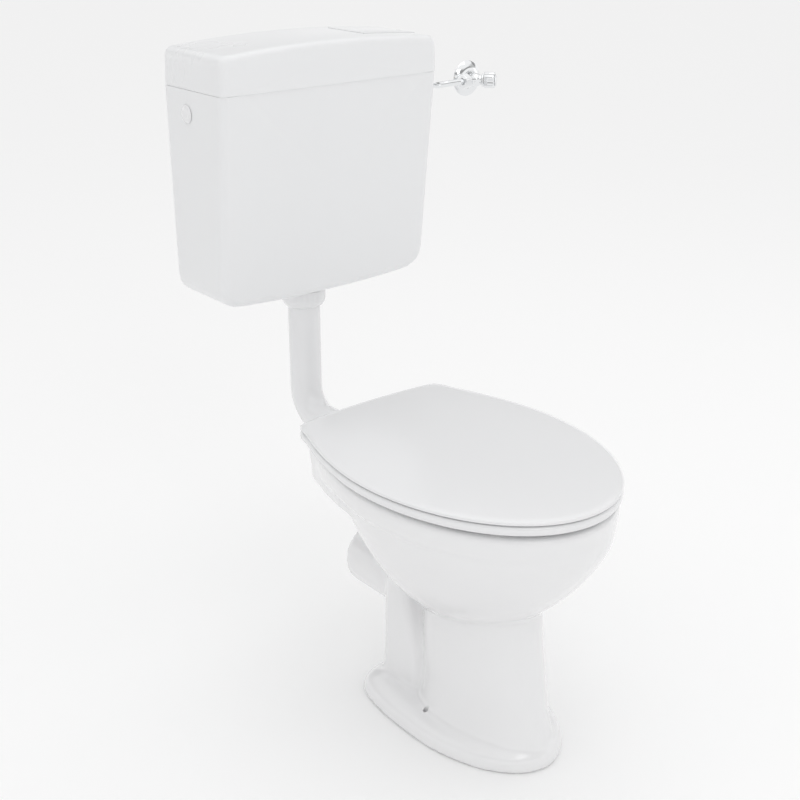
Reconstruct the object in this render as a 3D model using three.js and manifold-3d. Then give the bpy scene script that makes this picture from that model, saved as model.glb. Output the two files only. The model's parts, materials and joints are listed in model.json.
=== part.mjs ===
// Floor-standing WC pan with a low-level, wall-hung cistern, flush bend, seat and angle valve.
// Millimetres, +Z up, +Y towards the wall, X = 0 is the pan's plane of symmetry.
// The origin is on the floor, midway between the two floor fixing holes of the pan's foot.
import * as THREE from 'three';
import { mergeVertices } from 'three/addons/utils/BufferGeometryUtils.js';
import Module from 'manifold-3d';

const wasm = await Module();
wasm.setup();

// ---------------------------------------------------------------- driving dimensions
const GAP = 0.3;                 // between pieces that touch
const RUNNING = 0.4;             // radial play of a pin or rod in its hole
const WALL_Y = 440;              // foot centre to the finished wall

const RIM_Z = 402;               // top of the china rim above the floor
const USUAL_RIM_Z = 402;         // the rim height that the pan's other heights are given for
const SUMP_Z = 66;               // lowest point of the water in the bowl
const RIM_HALF = 171;            // half width of the rim
const RIM_FRONT = -232;
const DECK_BACK = 227;           // rear edge of the deck that carries the seat hinges
const DECK_SHOULDER = 129;       // half width of the deck at its rear corners
const RIM_BAND = 34;             // height of the plain band round the rim
const DECK_THICK = 62;
const BOWL_HALF = 162;           // bowl just under the rim band
const BOWL_MID = 12;
const BOWL_FRONT = 243;          // from BOWL_MID to the front of the bowl
const BOWL_REAR = 184;
const BOWL_BOTTOM_Z = withRim(169);
const BOWL_DROP_POWER = 1.3;
const BOWL_ROUND_POWER = 1.85;
const MOUTH_HALF = 122;          // opening inside the rim
const MOUTH_FRONT = -186;
const MOUTH_BACK = 112;
const CHINA = 13;                // wall of the fired china

const FOOT_HALF = 104;
const FOOT_FRONT = -174;
const FOOT_BACK = 158;
const PLINTH_TOP = 34;
const COLUMN_HALF = 66;
const COLUMN_TOP = withRim(250);
const COLUMN_LEAN = 34;          // the column's nose runs back by this much towards the bowl
const LEG_HALF = 57;
const LEG_BACK = 129;
const FIXING_X = 75;             // floor fixing holes
const FIXING_Y = 3;
const FIXING_RADIUS = 4.5;
const CROSS_WEB = 28;            // cast web under the foot between the fixing holes

const OUTLET_Z = 180;
const OUTLET_RADIUS = 51;
const OUTLET_BORE = 43;
const OUTLET_END = 226;
const TRAP_RADIUS = 30;

const HORN_Z = withRim(361);              // flush inlet at the back of the pan
const HORN_RADIUS = 27.5;
const HORN_BORE = 20;
const HORN_LENGTH = 21;

const SEAT_HALF = 178;
const SEAT_FRONT = -234;
const SEAT_BACK = 235;
const SEAT_SHOULDER = 138;
const SEAT_LIFT = 7;             // rim to underside of the ring, bridged by the buffers
const RING_THICK = 13.5;
const LID_THICK = 6.5;
const LID_SKIN = 3.2;
const RING_HOLE_HALF = 112;
const RING_HOLE_FRONT = -166;
const RING_HOLE_BACK = 118;

const HINGE_X = 77.5;
const HINGE_Y = 222;
const HINGE_DROP = 8.8;          // underside of the lid to the hinge axis
const HINGE_PIN = 4;
const BARREL_RADIUS = 7.2;
const BOLT_Y = 203;
const BOLT_RADIUS = 4;
const BOLT_HOLE = 6.5;

const TANK_HALF = 189;
const TANK_DEPTH = 145;
const TANK_TOP = 890;            // the joint between cistern and lid
const TANK_HEIGHT = 304;         // joint to the bottom corners
const TANK_BOW = 8;              // the bottom sags by this much in the middle
const TANK_TAPER = 2.5;          // each side draws in by this much towards the bottom
const TANK_LEAN = 30;            // the front draws back by this much towards the bottom
const TANK_CORNER = 32;
const TANK_EDGE = 13;            // rounding of the front edges
const TANK_WALL = 4;
const LID_HEIGHT = 51;           // joint to the lid's top corners
const LID_ARCH = 9;              // extra height in the middle
const LID_CORNER = 13;
const LID_EDGE = 10;

const PLATE_LEFT = TANK_HALF - 108;
const PLATE_RIGHT = TANK_HALF - 13;
const PLATE_FRONT = 334;
const PLATE_BACK = 422;
const PLATE_THICK = 6;
const PLATE_PROUD = 1;
const POCKET_GAP = 1.6;
const POCKET_DEPTH = 25;
const PLATE_PIN_DROP = 11;       // plate surface to its pin
const PIN_THIN = 2;

const FLUSH_Y = WALL_Y - 51;     // axis of flush valve and flush pipe
const PIPE_RADIUS = 25;
const PIPE_WALL = 3;
const PIPE_BEND = 46;
const NUT_RADIUS = 34;
const TAIL_RADIUS = 27;
const TAIL_BORE = 21;

const INLET_Y = WALL_Y - 54;     // side inlets of the cistern
const INLET_Z = TANK_TOP - 33;
const SHANK_RADIUS = 10;

const LEVER_Y = 352;
const LEVER_Z = 868;
const LEVER_PIVOT_X = 100;
const STEM_X = TANK_HALF - 39;

const ARM_PIVOT_X = 152;
const ARM_PIVOT_Z = INLET_Z - 19;
const FLOAT_SIZE = [66, 50, 50];
const FLOAT_X = 75;

const VALVE_X = 377;             // angle valve on the wall
const VALVE_Y = WALL_Y - 23;
const VALVE_Z = 844;
const TUBE_RADIUS = 5;
const ROSETTE_RADIUS = 29;
const HANDLE_TURN = 40;          // degrees that the spindle points away from the wall's normal
const HANDLE_RADIUS = 13.5;

const SCREW_X = 120;
const SCREW_Z = TANK_TOP - 40;

// A height inside the pan, moved in step with the rim; at the usual rim height it stays as it is.
function withRim(z) {
  return SUMP_Z + ((z - SUMP_Z) * (RIM_Z - SUMP_Z)) / (USUAL_RIM_Z - SUMP_Z);
}

const SIDES = 18;
const FINE_SIDES = 24;
const SMALL_SIDES = 12;
const RING_STEPS = 16;           // steps on half a plan outline

// ---------------------------------------------------------------- solids
// A closed three.js geometry as a manifold solid with its faces pointing out.
function solid(geometry) {
  const bare = geometry.index ? geometry.toNonIndexed() : geometry.clone();
  bare.deleteAttribute('normal');
  bare.deleteAttribute('uv');
  const merged = mergeVertices(bare, 1e-3);
  const position = merged.attributes.position.array;
  const corners = merged.index.array;
  const triangles = [];
  let volume = 0;
  const a = new THREE.Vector3();
  const b = new THREE.Vector3();
  const c = new THREE.Vector3();
  for (let i = 0; i < corners.length; i += 3) {
    const [p, q, r] = [corners[i], corners[i + 1], corners[i + 2]];
    if (p === q || q === r || r === p) continue;
    triangles.push([p, q, r]);
    a.fromArray(position, 3 * p);
    b.fromArray(position, 3 * q);
    c.fromArray(position, 3 * r);
    volume += a.dot(b.cross(c));
  }
  const outward = volume < 0 ? triangles.map(([p, q, r]) => [p, r, q]) : triangles;
  const mesh = new wasm.Mesh({
    numProp: 3,
    vertProperties: new Float32Array(position),
    triVerts: new Uint32Array(outward.flat()),
  });
  return new wasm.Manifold(mesh);
}

function join(first, ...others) {
  return others.reduce((sum, other) => sum.add(other), first);
}

function cut(first, ...others) {
  return others.reduce((rest, other) => rest.subtract(other), first);
}

function block([x0, x1], [y0, y1], [z0, z1]) {
  const box = new THREE.BoxGeometry(x1 - x0, y1 - y0, z1 - z0);
  return solid(box.translate((x0 + x1) / 2, (y0 + y1) / 2, (z0 + z1) / 2));
}

// Turns a geometry that stands along +Y so that it stands along the given axis.
function aim(geometry, axis) {
  if (axis === 'x') return geometry.rotateZ(-Math.PI / 2);
  if (axis === 'z') return geometry.rotateX(Math.PI / 2);
  return geometry;
}

// A round bar along an axis, from one coordinate to another, through the point at.
function rod(axis, radius, from, to, at, sides = SIDES) {
  const bar = aim(new THREE.CylinderGeometry(radius, radius, to - from, sides), axis);
  const middle = (from + to) / 2;
  const centre = { x: [middle, at[0], at[1]], y: [at[0], middle, at[1]], z: [at[0], at[1], middle] };
  return solid(bar.translate(...centre[axis]));
}

// A tube: a round bar with a round bore.
function sleeve(axis, outer, inner, from, to, at, sides = SIDES) {
  return cut(rod(axis, outer, from, to, at, sides), rod(axis, inner, from - 1, to + 1, at, sides));
}

// A turned piece: profile points are [radius, distance along the axis] and run from axis to axis.
function turned(profile, axis, at, sides = SIDES) {
  const points = profile.map(([r, h]) => new THREE.Vector2(r, h));
  const lathe = new THREE.LatheGeometry(points, sides);
  if (axis === 'z') lathe.rotateX(Math.PI / 2);
  if (axis === 'x') lathe.rotateZ(-Math.PI / 2);
  return solid(lathe.translate(...at));
}

function hexagon(axis, flats, from, to, at) {
  return rod(axis, flats / Math.sqrt(3), from, to, at, 6);
}

// A solid skin over a stack of rings that have the same number of points.
function loft(rings) {
  const count = rings[0].length;
  const position = [];
  const triangle = (a, b, c) => position.push(...a.toArray(), ...b.toArray(), ...c.toArray());
  const centre = (ring) => ring.reduce((sum, p) => sum.add(p), new THREE.Vector3()).divideScalar(count);
  const bottom = centre(rings[0]);
  const top = centre(rings[rings.length - 1]);
  for (let i = 0; i < count; i += 1) {
    const j = (i + 1) % count;
    triangle(bottom, rings[0][j], rings[0][i]);
    triangle(top, rings[rings.length - 1][i], rings[rings.length - 1][j]);
    for (let k = 0; k + 1 < rings.length; k += 1) {
      triangle(rings[k][i], rings[k][j], rings[k + 1][j]);
      triangle(rings[k][i], rings[k + 1][j], rings[k + 1][i]);
    }
  }
  const geometry = new THREE.BufferGeometry();
  geometry.setAttribute('position', new THREE.Float32BufferAttribute(position, 3));
  return solid(geometry);
}

// Half a plan outline from the middle of the front to the middle of the back, mirrored to a ring.
function mirroredRing(halfPath, z, steps = RING_STEPS) {
  const half = halfPath.getSpacedPoints(steps);
  const right = half.map((p) => new THREE.Vector3(p.x, p.y, z));
  const left = half.slice(1, -1).reverse().map((p) => new THREE.Vector3(-p.x, p.y, z));
  right[0].x = 0;
  right[right.length - 1].x = 0;
  return [...right, ...left];
}

// Seat-like plan: half ellipse in front, sides that draw in, rounded rear corners, bowed back.
function seatRing({ half, front, mid, shoulder, back, bow = 8, corner = 14, inset = 0 }, z, steps = RING_STEPS) {
  const h = half - inset;
  const s = shoulder - inset;
  const f = front + inset;
  const b = back - inset;
  const path = new THREE.Path();
  path.absellipse(0, mid, h, mid - f, -Math.PI / 2, 0, false);
  path.bezierCurveTo(h, mid + 60, s + 22, b - bow - 84, s, b - bow - corner * 2);
  path.quadraticCurveTo(s - 4, b - bow, s - 4 - corner, b - bow + 1);
  path.quadraticCurveTo(s / 2, b, 0, b);
  return mirroredRing(path, z, steps);
}

// Egg plan: half ellipses in front and behind.
function eggRing({ half, front, mid, back }, z) {
  const path = new THREE.Path();
  path.absellipse(0, mid, half, mid - front, -Math.PI / 2, 0, false);
  path.absellipse(0, mid, half, back - mid, 0, Math.PI / 2, false);
  return mirroredRing(path, z);
}

// Rectangular plan with rounded corners.
function roundedRing({ half, front, back, corner }, z) {
  const path = new THREE.Path();
  path.moveTo(0, front);
  path.lineTo(half - corner, front);
  path.quadraticCurveTo(half, front, half, front + corner);
  path.lineTo(half, back - corner);
  path.quadraticCurveTo(half, back, half - corner, back);
  path.lineTo(0, back);
  return mirroredRing(path, z);
}

// A round tube along a curve; a bore turns it into a pipe.
function pipe(curve, radius, bore, steps, sides = SIDES) {
  const circle = new THREE.Shape();
  circle.absarc(0, 0, radius, 0, 2 * Math.PI, false);
  if (bore > 0) {
    const hole = new THREE.Path();
    hole.absarc(0, 0, bore, 0, 2 * Math.PI, true);
    circle.holes.push(hole);
  }
  const options = { steps, curveSegments: sides / 2, extrudePath: curve };
  return solid(new THREE.ExtrudeGeometry(circle, options));
}

// A flat shape in one plane, pushed along the third axis from one coordinate to another.
function plateXZ(shape, from, to, curveSegments = 8, edge = 0) {
  const options = {
    depth: to - from - 2 * edge,
    curveSegments,
    bevelEnabled: edge > 0,
    bevelSize: edge,
    bevelThickness: edge,
    bevelOffset: -edge,
    bevelSegments: 2,
  };
  const geometry = new THREE.ExtrudeGeometry(shape, options);
  return solid(geometry.rotateX(Math.PI / 2).translate(0, to - edge, 0));
}

const object = new THREE.Group();

function place(name, manifold, material) {
  const mesh = manifold.getMesh();
  const geometry = new THREE.BufferGeometry();
  geometry.setAttribute('position', new THREE.BufferAttribute(new Float32Array(mesh.vertProperties), 3));
  geometry.setIndex(new THREE.BufferAttribute(new Uint32Array(mesh.triVerts), 1));
  const flat = geometry.toNonIndexed();
  flat.computeVertexNormals();
  const node = new THREE.Mesh(flat, material);
  node.name = name;
  object.add(node);
}

function finish(color, roughness, metalness) {
  return new THREE.MeshStandardMaterial({ color, roughness, metalness });
}

const china = () => finish(0xf3f2ef, 0.08, 0);
const seatPlastic = () => finish(0xf4f4f3, 0.22, 0);
const tankPlastic = () => finish(0xeeeff0, 0.28, 0);
const innerPlastic = () => finish(0xd9dde0, 0.45, 0);
const bluePlastic = () => finish(0x8fa9bf, 0.5, 0);
const chrome = () => finish(0xd8dadc, 0.06, 1);
const brass = () => finish(0xb89a55, 0.3, 1);
const zincSteel = () => finish(0xa9acae, 0.4, 1);
const rubber = () => finish(0x2b2b2c, 0.85, 0);
const whiteRubber = () => finish(0xe6e4e0, 0.7, 0);

// ---------------------------------------------------------------- pan
function bowlRing(z, shrink = 0) {
  const topZ = RIM_Z - RIM_BAND - 7;
  const down = Math.max(0, topZ - z) / (topZ - BOWL_BOTTOM_Z);
  const size = Math.max(0.02, 1 - down ** BOWL_DROP_POWER) ** (1 / BOWL_ROUND_POWER);
  const ring = {
    half: BOWL_HALF * size - shrink,
    front: BOWL_MID - BOWL_FRONT * size + shrink,
    mid: BOWL_MID,
    back: BOWL_MID + BOWL_REAR * size - shrink,
  };
  return eggRing(ring, z);
}

function bowlOuter() {
  const topZ = RIM_Z - RIM_BAND + 1;
  const levels = [176, 190, 212, 240, 275, 310, 342].map(withRim);
  return loft([...levels, topZ].map((z) => bowlRing(z)));
}

const rimPlan = (inset) => ({
  half: RIM_HALF, front: RIM_FRONT, mid: BOWL_MID + 7, shoulder: DECK_SHOULDER, back: DECK_BACK, inset,
});

function rimAndDeck() {
  const bandFoot = RIM_Z - RIM_BAND;
  const under = RIM_Z - DECK_THICK;
  const band = loft([
    seatRing(rimPlan(4), bandFoot),
    seatRing(rimPlan(2), bandFoot + 3),
    seatRing(rimPlan(0), RIM_Z - 7),
    seatRing(rimPlan(2), RIM_Z - 2),
    seatRing(rimPlan(6), RIM_Z),
  ]);
  const deckPlan = (inset) => ({
    half: BOWL_HALF - 8, front: BOWL_MID - BOWL_FRONT + 12, mid: BOWL_MID, shoulder: DECK_SHOULDER,
    back: DECK_BACK, inset: inset + 1,
  });
  const deck = loft([
    seatRing(deckPlan(12), under),
    seatRing(deckPlan(4), under + 4),
    seatRing(deckPlan(0), under + 11),
    seatRing(deckPlan(1), bandFoot + 2),
  ]);
  return join(band, deck);
}

const footPlan = (inset) => ({
  half: FOOT_HALF, front: FOOT_FRONT, mid: 5, shoulder: FOOT_HALF - 14, back: FOOT_BACK, bow: 14, corner: 26, inset,
});

function pedestal(shrink = 0) {
  const foot = loft([
    seatRing(footPlan(shrink + 2), shrink > 0 ? -1 : 0),
    seatRing(footPlan(shrink), 5),
    seatRing(footPlan(shrink + 1.5), 18),
    seatRing(footPlan(shrink + 7), PLINTH_TOP - 8 - shrink / 2),
    seatRing(footPlan(shrink + 27), PLINTH_TOP - shrink / 2),
  ]);
  const column = (rise, wider) => eggRing({
    half: COLUMN_HALF + wider - shrink,
    front: FOOT_FRONT + 11 + COLUMN_LEAN * rise + shrink,
    mid: -25,
    back: 70 - shrink,
  }, PLINTH_TOP - 14 + (COLUMN_TOP - PLINTH_TOP - shrink / 2) * rise);
  const post = loft([column(0, 16), column(0.12, 7), column(0.3, 1), column(0.65, 0), column(1, 3)]);
  const legLevels = [
    [12, 38, 14], [45, 41, 4], [100, 46, 0], [withRim(150), 62, 0],
    [withRim(222) - shrink, 84, -8],
  ];
  const leg = loft(legLevels.map(([z, front, bulge]) => roundedRing({
    half: LEG_HALF - shrink, front: front + shrink, back: LEG_BACK + bulge - shrink, corner: 16,
  }, z)));
  const panelLevels = [[12 + shrink / 4, 54], [60, 50], [110, 40], [withRim(218) - shrink, 30]];
  const panel = loft(panelLevels.map(([z, half]) => roundedRing({
    half: half - shrink, front: -10, back: 110, corner: 6,
  }, z)));
  return join(foot, post, leg, panel);
}

const trapCurve = new THREE.CatmullRomCurve3([
  new THREE.Vector3(0, 8, 120),
  new THREE.Vector3(0, 20, 75),
  new THREE.Vector3(0, 52, 56),
  new THREE.Vector3(0, 84, 82),
  new THREE.Vector3(0, 92, 130),
  new THREE.Vector3(0, 118, 172),
  new THREE.Vector3(0, 160, OUTLET_Z),
]);

function bowlHollow(grow = 0) {
  const levels = [
    [RIM_Z + 1, MOUTH_HALF, MOUTH_FRONT, MOUTH_BACK],
    [RIM_Z - 26, MOUTH_HALF, MOUTH_FRONT, MOUTH_BACK],
    [RIM_Z - 32, MOUTH_HALF + 17, MOUTH_FRONT - 17, MOUTH_BACK + 17],
    [RIM_Z - 50, MOUTH_HALF + 20, MOUTH_FRONT - 22, MOUTH_BACK + 36],
    [withRim(300), 126, -182, 138],
    [withRim(250), 96, -138, 108],
    [withRim(200), 60, -78, 68],
    [withRim(150), 42, -34, 48],
    [withRim(100), 34, -22, 44],
    [SUMP_Z, 26, -10, 42],
  ];
  const ring = ([z, half, front, back]) => eggRing({
    half: half + grow, front: front - grow, mid: (front + back) / 2, back: back + grow,
  }, z - (z < 70 ? grow : 0));
  return loft(levels.reverse().map(ring));
}

function pan() {
  const outlet = rod('y', OUTLET_RADIUS, 92, OUTLET_END, [0, OUTLET_Z], FINE_SIDES);
  const horn = rod('y', HORN_RADIUS, DECK_BACK - 40, DECK_BACK + HORN_LENGTH, [0, HORN_Z], FINE_SIDES);
  const outer = join(pedestal(), bowlOuter(), rimAndDeck(), outlet, horn);
  const trapBore = pipe(trapCurve, TRAP_RADIUS, 0, 12, 16);
  const outletBore = rod('y', OUTLET_BORE, 132, OUTLET_END + 1, [0, OUTLET_Z], FINE_SIDES);
  const hornBore = rod('y', HORN_BORE, MOUTH_BACK + 17, DECK_BACK + HORN_LENGTH + 1, [0, HORN_Z]);
  const trapWall = pipe(trapCurve, TRAP_RADIUS + 9, 0, 11, 12);
  const outletWall = rod('y', OUTLET_BORE + CHINA, 70, OUTLET_END, [0, OUTLET_Z], FINE_SIDES);
  const web = block([-FOOT_HALF, FOOT_HALF], [FIXING_Y - 3 - CROSS_WEB / 2, FIXING_Y - 3 + CROSS_WEB / 2], [0, 16]);
  const keep = join(bowlHollow(CHINA), trapWall, outletWall, bowlOuter(), web);
  const room = cut(pedestal(CHINA), keep);
  const open = room.decompose().filter((piece) => piece.boundingBox().min[2] < 0);
  const deckHoles = [-1, 1].map((side) => rod(
    'z', BOLT_HOLE, RIM_Z - DECK_THICK - 2, RIM_Z + 1, [side * HINGE_X, BOLT_Y], SIDES));
  const footHoles = [-1, 1].map((side) => rod(
    'z', FIXING_RADIUS, -1, PLINTH_TOP + 12, [side * FIXING_X, FIXING_Y], SMALL_SIDES));
  return cut(outer, ...open, bowlHollow(), trapBore, outletBore, hornBore, ...deckHoles, ...footHoles);
}

place('pan', pan(), china());

// ---------------------------------------------------------------- seat, lid and hinges
const RING_BOTTOM = RIM_Z + SEAT_LIFT;
const RING_TOP = RING_BOTTOM + RING_THICK;
const LID_BOTTOM = RING_TOP + 1.3;
const LID_TOP = LID_BOTTOM + LID_THICK;
const HINGE_Z = LID_BOTTOM - HINGE_DROP;
const SIDE_NAMES = [[-1, 'left'], [1, 'right']];

const seatPlan = (inset) => ({
  half: SEAT_HALF, front: SEAT_FRONT, mid: BOWL_MID + 7, shoulder: SEAT_SHOULDER, back: SEAT_BACK, inset,
});

// The span along the hinge axis of each piece of one hinge, from the pan's middle outwards.
const POST_HALF = 9.5;
const LUG = 6;
const HINGE_PLAY = 0.6;
const postSpan = [HINGE_X - POST_HALF, HINGE_X + POST_HALF];
const lidLugSpans = [
  [HINGE_X - POST_HALF - 2 * (LUG + HINGE_PLAY), HINGE_X - POST_HALF - LUG - 2 * HINGE_PLAY],
  [HINGE_X + POST_HALF + LUG + 2 * HINGE_PLAY, HINGE_X + POST_HALF + 2 * (LUG + HINGE_PLAY)],
];

function sided(side, [from, to]) {
  return side > 0 ? [from, to] : [-to, -from];
}

function widened([from, to], play) {
  return [from - play, to + play];
}

function hingeBore(side) {
  const reach = HINGE_X + POST_HALF + 2 * (LUG + HINGE_PLAY) + 1;
  return rod('x', HINGE_PIN + RUNNING, ...sided(side, [2 * HINGE_X - reach, reach]), [HINGE_Y, HINGE_Z], SMALL_SIDES);
}

function seatRingPiece() {
  const body = loft([
    seatRing(seatPlan(3), RING_BOTTOM),
    seatRing(seatPlan(0.6), RING_BOTTOM + 2),
    seatRing(seatPlan(0), RING_BOTTOM + 6),
    seatRing(seatPlan(0.8), RING_TOP - 3),
    seatRing(seatPlan(3.5), RING_TOP),
  ]);
  const holeMid = (RING_HOLE_FRONT + RING_HOLE_BACK) / 2;
  const hole = (grow, z) => eggRing({
    half: RING_HOLE_HALF + grow, front: RING_HOLE_FRONT - grow, mid: holeMid, back: RING_HOLE_BACK + grow,
  }, z);
  const opening = loft([
    hole(3, RING_BOTTOM - 1), hole(0, RING_BOTTOM + 4), hole(0, RING_TOP - 5), hole(5, RING_TOP + 1),
  ]);
  const notches = SIDE_NAMES.flatMap(([side]) => [
    block(sided(side, widened(postSpan, HINGE_PLAY)), [BOLT_Y - 17, SEAT_BACK + 1], [RING_BOTTOM - 1, RING_TOP + 1]),
    ...lidLugSpans.map((span) => block(
      sided(side, widened(span, HINGE_PLAY)), [HINGE_Y - BARREL_RADIUS - 3, SEAT_BACK + 1],
      [RING_BOTTOM - 1, RING_TOP + 1])),
    hingeBore(side),
  ]);
  // Behind the hinge the ring is a round nose about its axis, so that the lid's rear edge swings clear.
  const nose = rod('x', LID_BOTTOM - HINGE_Z - 2 * GAP, -SEAT_HALF, SEAT_HALF, [HINGE_Y, HINGE_Z], FINE_SIDES);
  const behind = block([-SEAT_HALF, SEAT_HALF], [HINGE_Y, SEAT_BACK + 1], [RING_BOTTOM - 1, RING_TOP + 1]);
  return cut(body, opening, cut(behind, nose), ...notches);
}

function seatLidPiece() {
  const body = loft([
    seatRing(seatPlan(0.8), LID_BOTTOM),
    seatRing(seatPlan(0), LID_BOTTOM + 2),
    seatRing(seatPlan(0.4), LID_TOP - 3.4),
    seatRing(seatPlan(2), LID_TOP - 1.4),
    seatRing(seatPlan(6), LID_TOP - 0.4),
    seatRing(seatPlan(60), LID_TOP),
  ]);
  const hollow = loft([
    seatRing(seatPlan(LID_SKIN), LID_BOTTOM - 1),
    seatRing(seatPlan(LID_SKIN), LID_TOP - LID_SKIN),
  ]);
  const lugs = SIDE_NAMES.flatMap(([side]) => lidLugSpans.map((span) => join(
    rod('x', BARREL_RADIUS, ...sided(side, span), [HINGE_Y, HINGE_Z], SIDES),
    block(sided(side, span), [HINGE_Y - BARREL_RADIUS, HINGE_Y + BARREL_RADIUS], [HINGE_Z, LID_TOP - LID_SKIN + 1]),
  )));
  return cut(join(cut(body, hollow), ...lugs), hingeBore(-1), hingeBore(1));
}

place('seat_ring', seatRingPiece(), seatPlastic());
place('seat_lid', seatLidPiece(), seatPlastic());

function hingePost(side) {
  const at = [side * HINGE_X, BOLT_Y];
  const base = rod('z', 12.5, RIM_Z + GAP, RING_BOTTOM - 1.2, at);
  const neck = block(
    sided(side, postSpan), [BOLT_Y, HINGE_Y], [RIM_Z + GAP, RING_BOTTOM + 4]);
  const barrel = rod('x', BARREL_RADIUS, ...sided(side, postSpan), [HINGE_Y, HINGE_Z], SIDES);
  const socket = rod('z', BOLT_RADIUS + GAP, RIM_Z, RING_BOTTOM - 1, at, SMALL_SIDES);
  return cut(join(base, neck, barrel), socket, hingeBore(side));
}

function hingeBolt(side) {
  return rod('z', BOLT_RADIUS, RIM_Z - DECK_THICK - 32, RING_BOTTOM - 1 - GAP, [side * HINGE_X, BOLT_Y], SMALL_SIDES);
}

function hingeWasher(side) {
  const at = [side * HINGE_X, BOLT_Y, RIM_Z - DECK_THICK - GAP];
  const cone = turned([[0, -9], [10, -9], [14, -3], [14, 0], [0, 0]], 'z', at);
  return cut(cone, rod('z', BOLT_RADIUS + GAP, at[2] - 10, at[2] + 1, at, SMALL_SIDES));
}

function wingNut(side) {
  const top = RIM_Z - DECK_THICK - 9 - 2 * GAP;
  const at = [side * HINGE_X, BOLT_Y];
  const hub = rod('z', 9, top - 11, top, at);
  const wings = block([at[0] - 19, at[0] + 19], [at[1] - 2, at[1] + 2], [top - 14, top - 3]);
  return cut(join(hub, wings), rod('z', BOLT_RADIUS + GAP, top - 15, top + 1, at, SMALL_SIDES));
}

for (const [side, name] of SIDE_NAMES) {
  const reach = HINGE_X + POST_HALF + 2 * (LUG + HINGE_PLAY);
  const pin = rod('x', HINGE_PIN, ...sided(side, [2 * HINGE_X - reach, reach]), [HINGE_Y, HINGE_Z], SMALL_SIDES);
  place(`hinge_post_${name}`, hingePost(side), seatPlastic());
  place(`hinge_pin_${name}`, pin, zincSteel());
  place(`hinge_bolt_${name}`, hingeBolt(side), innerPlastic());
  place(`hinge_washer_${name}`, hingeWasher(side), rubber());
  place(`wing_nut_${name}`, wingNut(side), innerPlastic());
}

const BUFFER_SPOTS = [['front', 96, -158], ['rear', 142, 70]];
for (const [side, name] of SIDE_NAMES) {
  for (const [where, x, y] of BUFFER_SPOTS) {
    const foot = [[0, 0], [7, 0], [9, 2], [9, SEAT_LIFT - 2 * GAP], [0, SEAT_LIFT - 2 * GAP]];
    place(`seat_buffer_${where}_${name}`, turned(foot, 'z', [side * x, y, RIM_Z + GAP], SIDES), whiteRubber());
  }
  const height = LID_TOP - LID_SKIN - GAP - (RING_TOP + GAP);
  const pad = [[0, 0], [5.5, 0], [7, 1.5], [7, height], [0, height]];
  place(`lid_buffer_${name}`, turned(pad, 'z', [side * 118, -120, RING_TOP + GAP], SIDES), whiteRubber());
}

// ---------------------------------------------------------------- cistern
// Front view of the cistern, drawn smaller by inset for its inside.
function tankFront(inset, top) {
  const bottom = TANK_TOP - TANK_HEIGHT;
  const low = TANK_HALF - TANK_TAPER - inset;
  const high = TANK_HALF - inset;
  const r = TANK_CORNER - inset;
  const shape = new THREE.Shape();
  shape.moveTo(-high, top);
  shape.lineTo(-low, bottom + TANK_CORNER);
  shape.quadraticCurveTo(-low, bottom + inset + r * 0.12, -low + r, bottom + inset - TANK_BOW * 0.3);
  shape.quadraticCurveTo(0, bottom + inset - TANK_BOW * 1.7, low - r, bottom + inset - TANK_BOW * 0.3);
  shape.quadraticCurveTo(low, bottom + inset + r * 0.12, low, bottom + TANK_CORNER);
  shape.lineTo(high, top);
  shape.closePath();
  return shape;
}

// Front face of the cistern at a height.
function tankFaceY(z) {
  const down = Math.max(0, TANK_TOP - z) / (TANK_HEIGHT + TANK_BOW);
  return WALL_Y - TANK_DEPTH + TANK_LEAN * down;
}

// Pushes the front view back from the front face to the wall, following the face's lean.
function tankBody(inset, top, edge) {
  const spare = edge + 2;
  const front = WALL_Y - TANK_DEPTH;
  const options = {
    depth: TANK_DEPTH + spare - 2 * edge,
    curveSegments: 8,
    bevelEnabled: true,
    bevelSize: edge,
    bevelThickness: edge,
    bevelOffset: -edge,
    bevelSegments: 4,
  };
  const geometry = new THREE.ExtrudeGeometry(tankFront(inset, top), options);
  geometry.rotateX(Math.PI / 2).translate(0, WALL_Y + spare - edge, 0);
  const position = geometry.attributes.position;
  for (let i = 0; i < position.count; i += 1) {
    const lean = tankFaceY(Math.min(TANK_TOP, position.getZ(i))) - front;
    const share = (WALL_Y - position.getY(i)) / TANK_DEPTH;
    position.setY(i, position.getY(i) + lean * Math.max(0, share) + inset * Math.max(0, share));
  }
  const behind = WALL_Y - inset;
  const box = block([-2 * TANK_HALF, 2 * TANK_HALF], [front - 50, behind], [TANK_TOP - 2 * TANK_HEIGHT, top - edge]);
  return solid(geometry).intersect(box);
}

function cisternTank() {
  const shell = tankBody(0, TANK_TOP + TANK_EDGE, TANK_EDGE);
  const room = tankBody(TANK_WALL, TANK_TOP + TANK_EDGE + 2, TANK_EDGE - TANK_WALL);
  const outletHole = rod('z', TAIL_RADIUS + 1, TANK_TOP - 320, TANK_TOP - 270, [0, FLUSH_Y], FINE_SIDES);
  const inlets = rod('x', SHANK_RADIUS + 0.8, -TANK_HALF - 5, TANK_HALF + 5, [INLET_Y, INLET_Z]);
  const screwHoles = [-1, 1].map((side) => rod('y', 5, WALL_Y - 12, WALL_Y + 2, [side * SCREW_X, SCREW_Z], SMALL_SIDES));
  return cut(shell, room, outletHole, inlets, ...screwHoles);
}

// Height of the lid's arched top at a distance from the middle.
function archZ(x) {
  return TANK_TOP + GAP + LID_HEIGHT + LID_ARCH * (1 - (x / TANK_HALF) ** 2);
}

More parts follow.
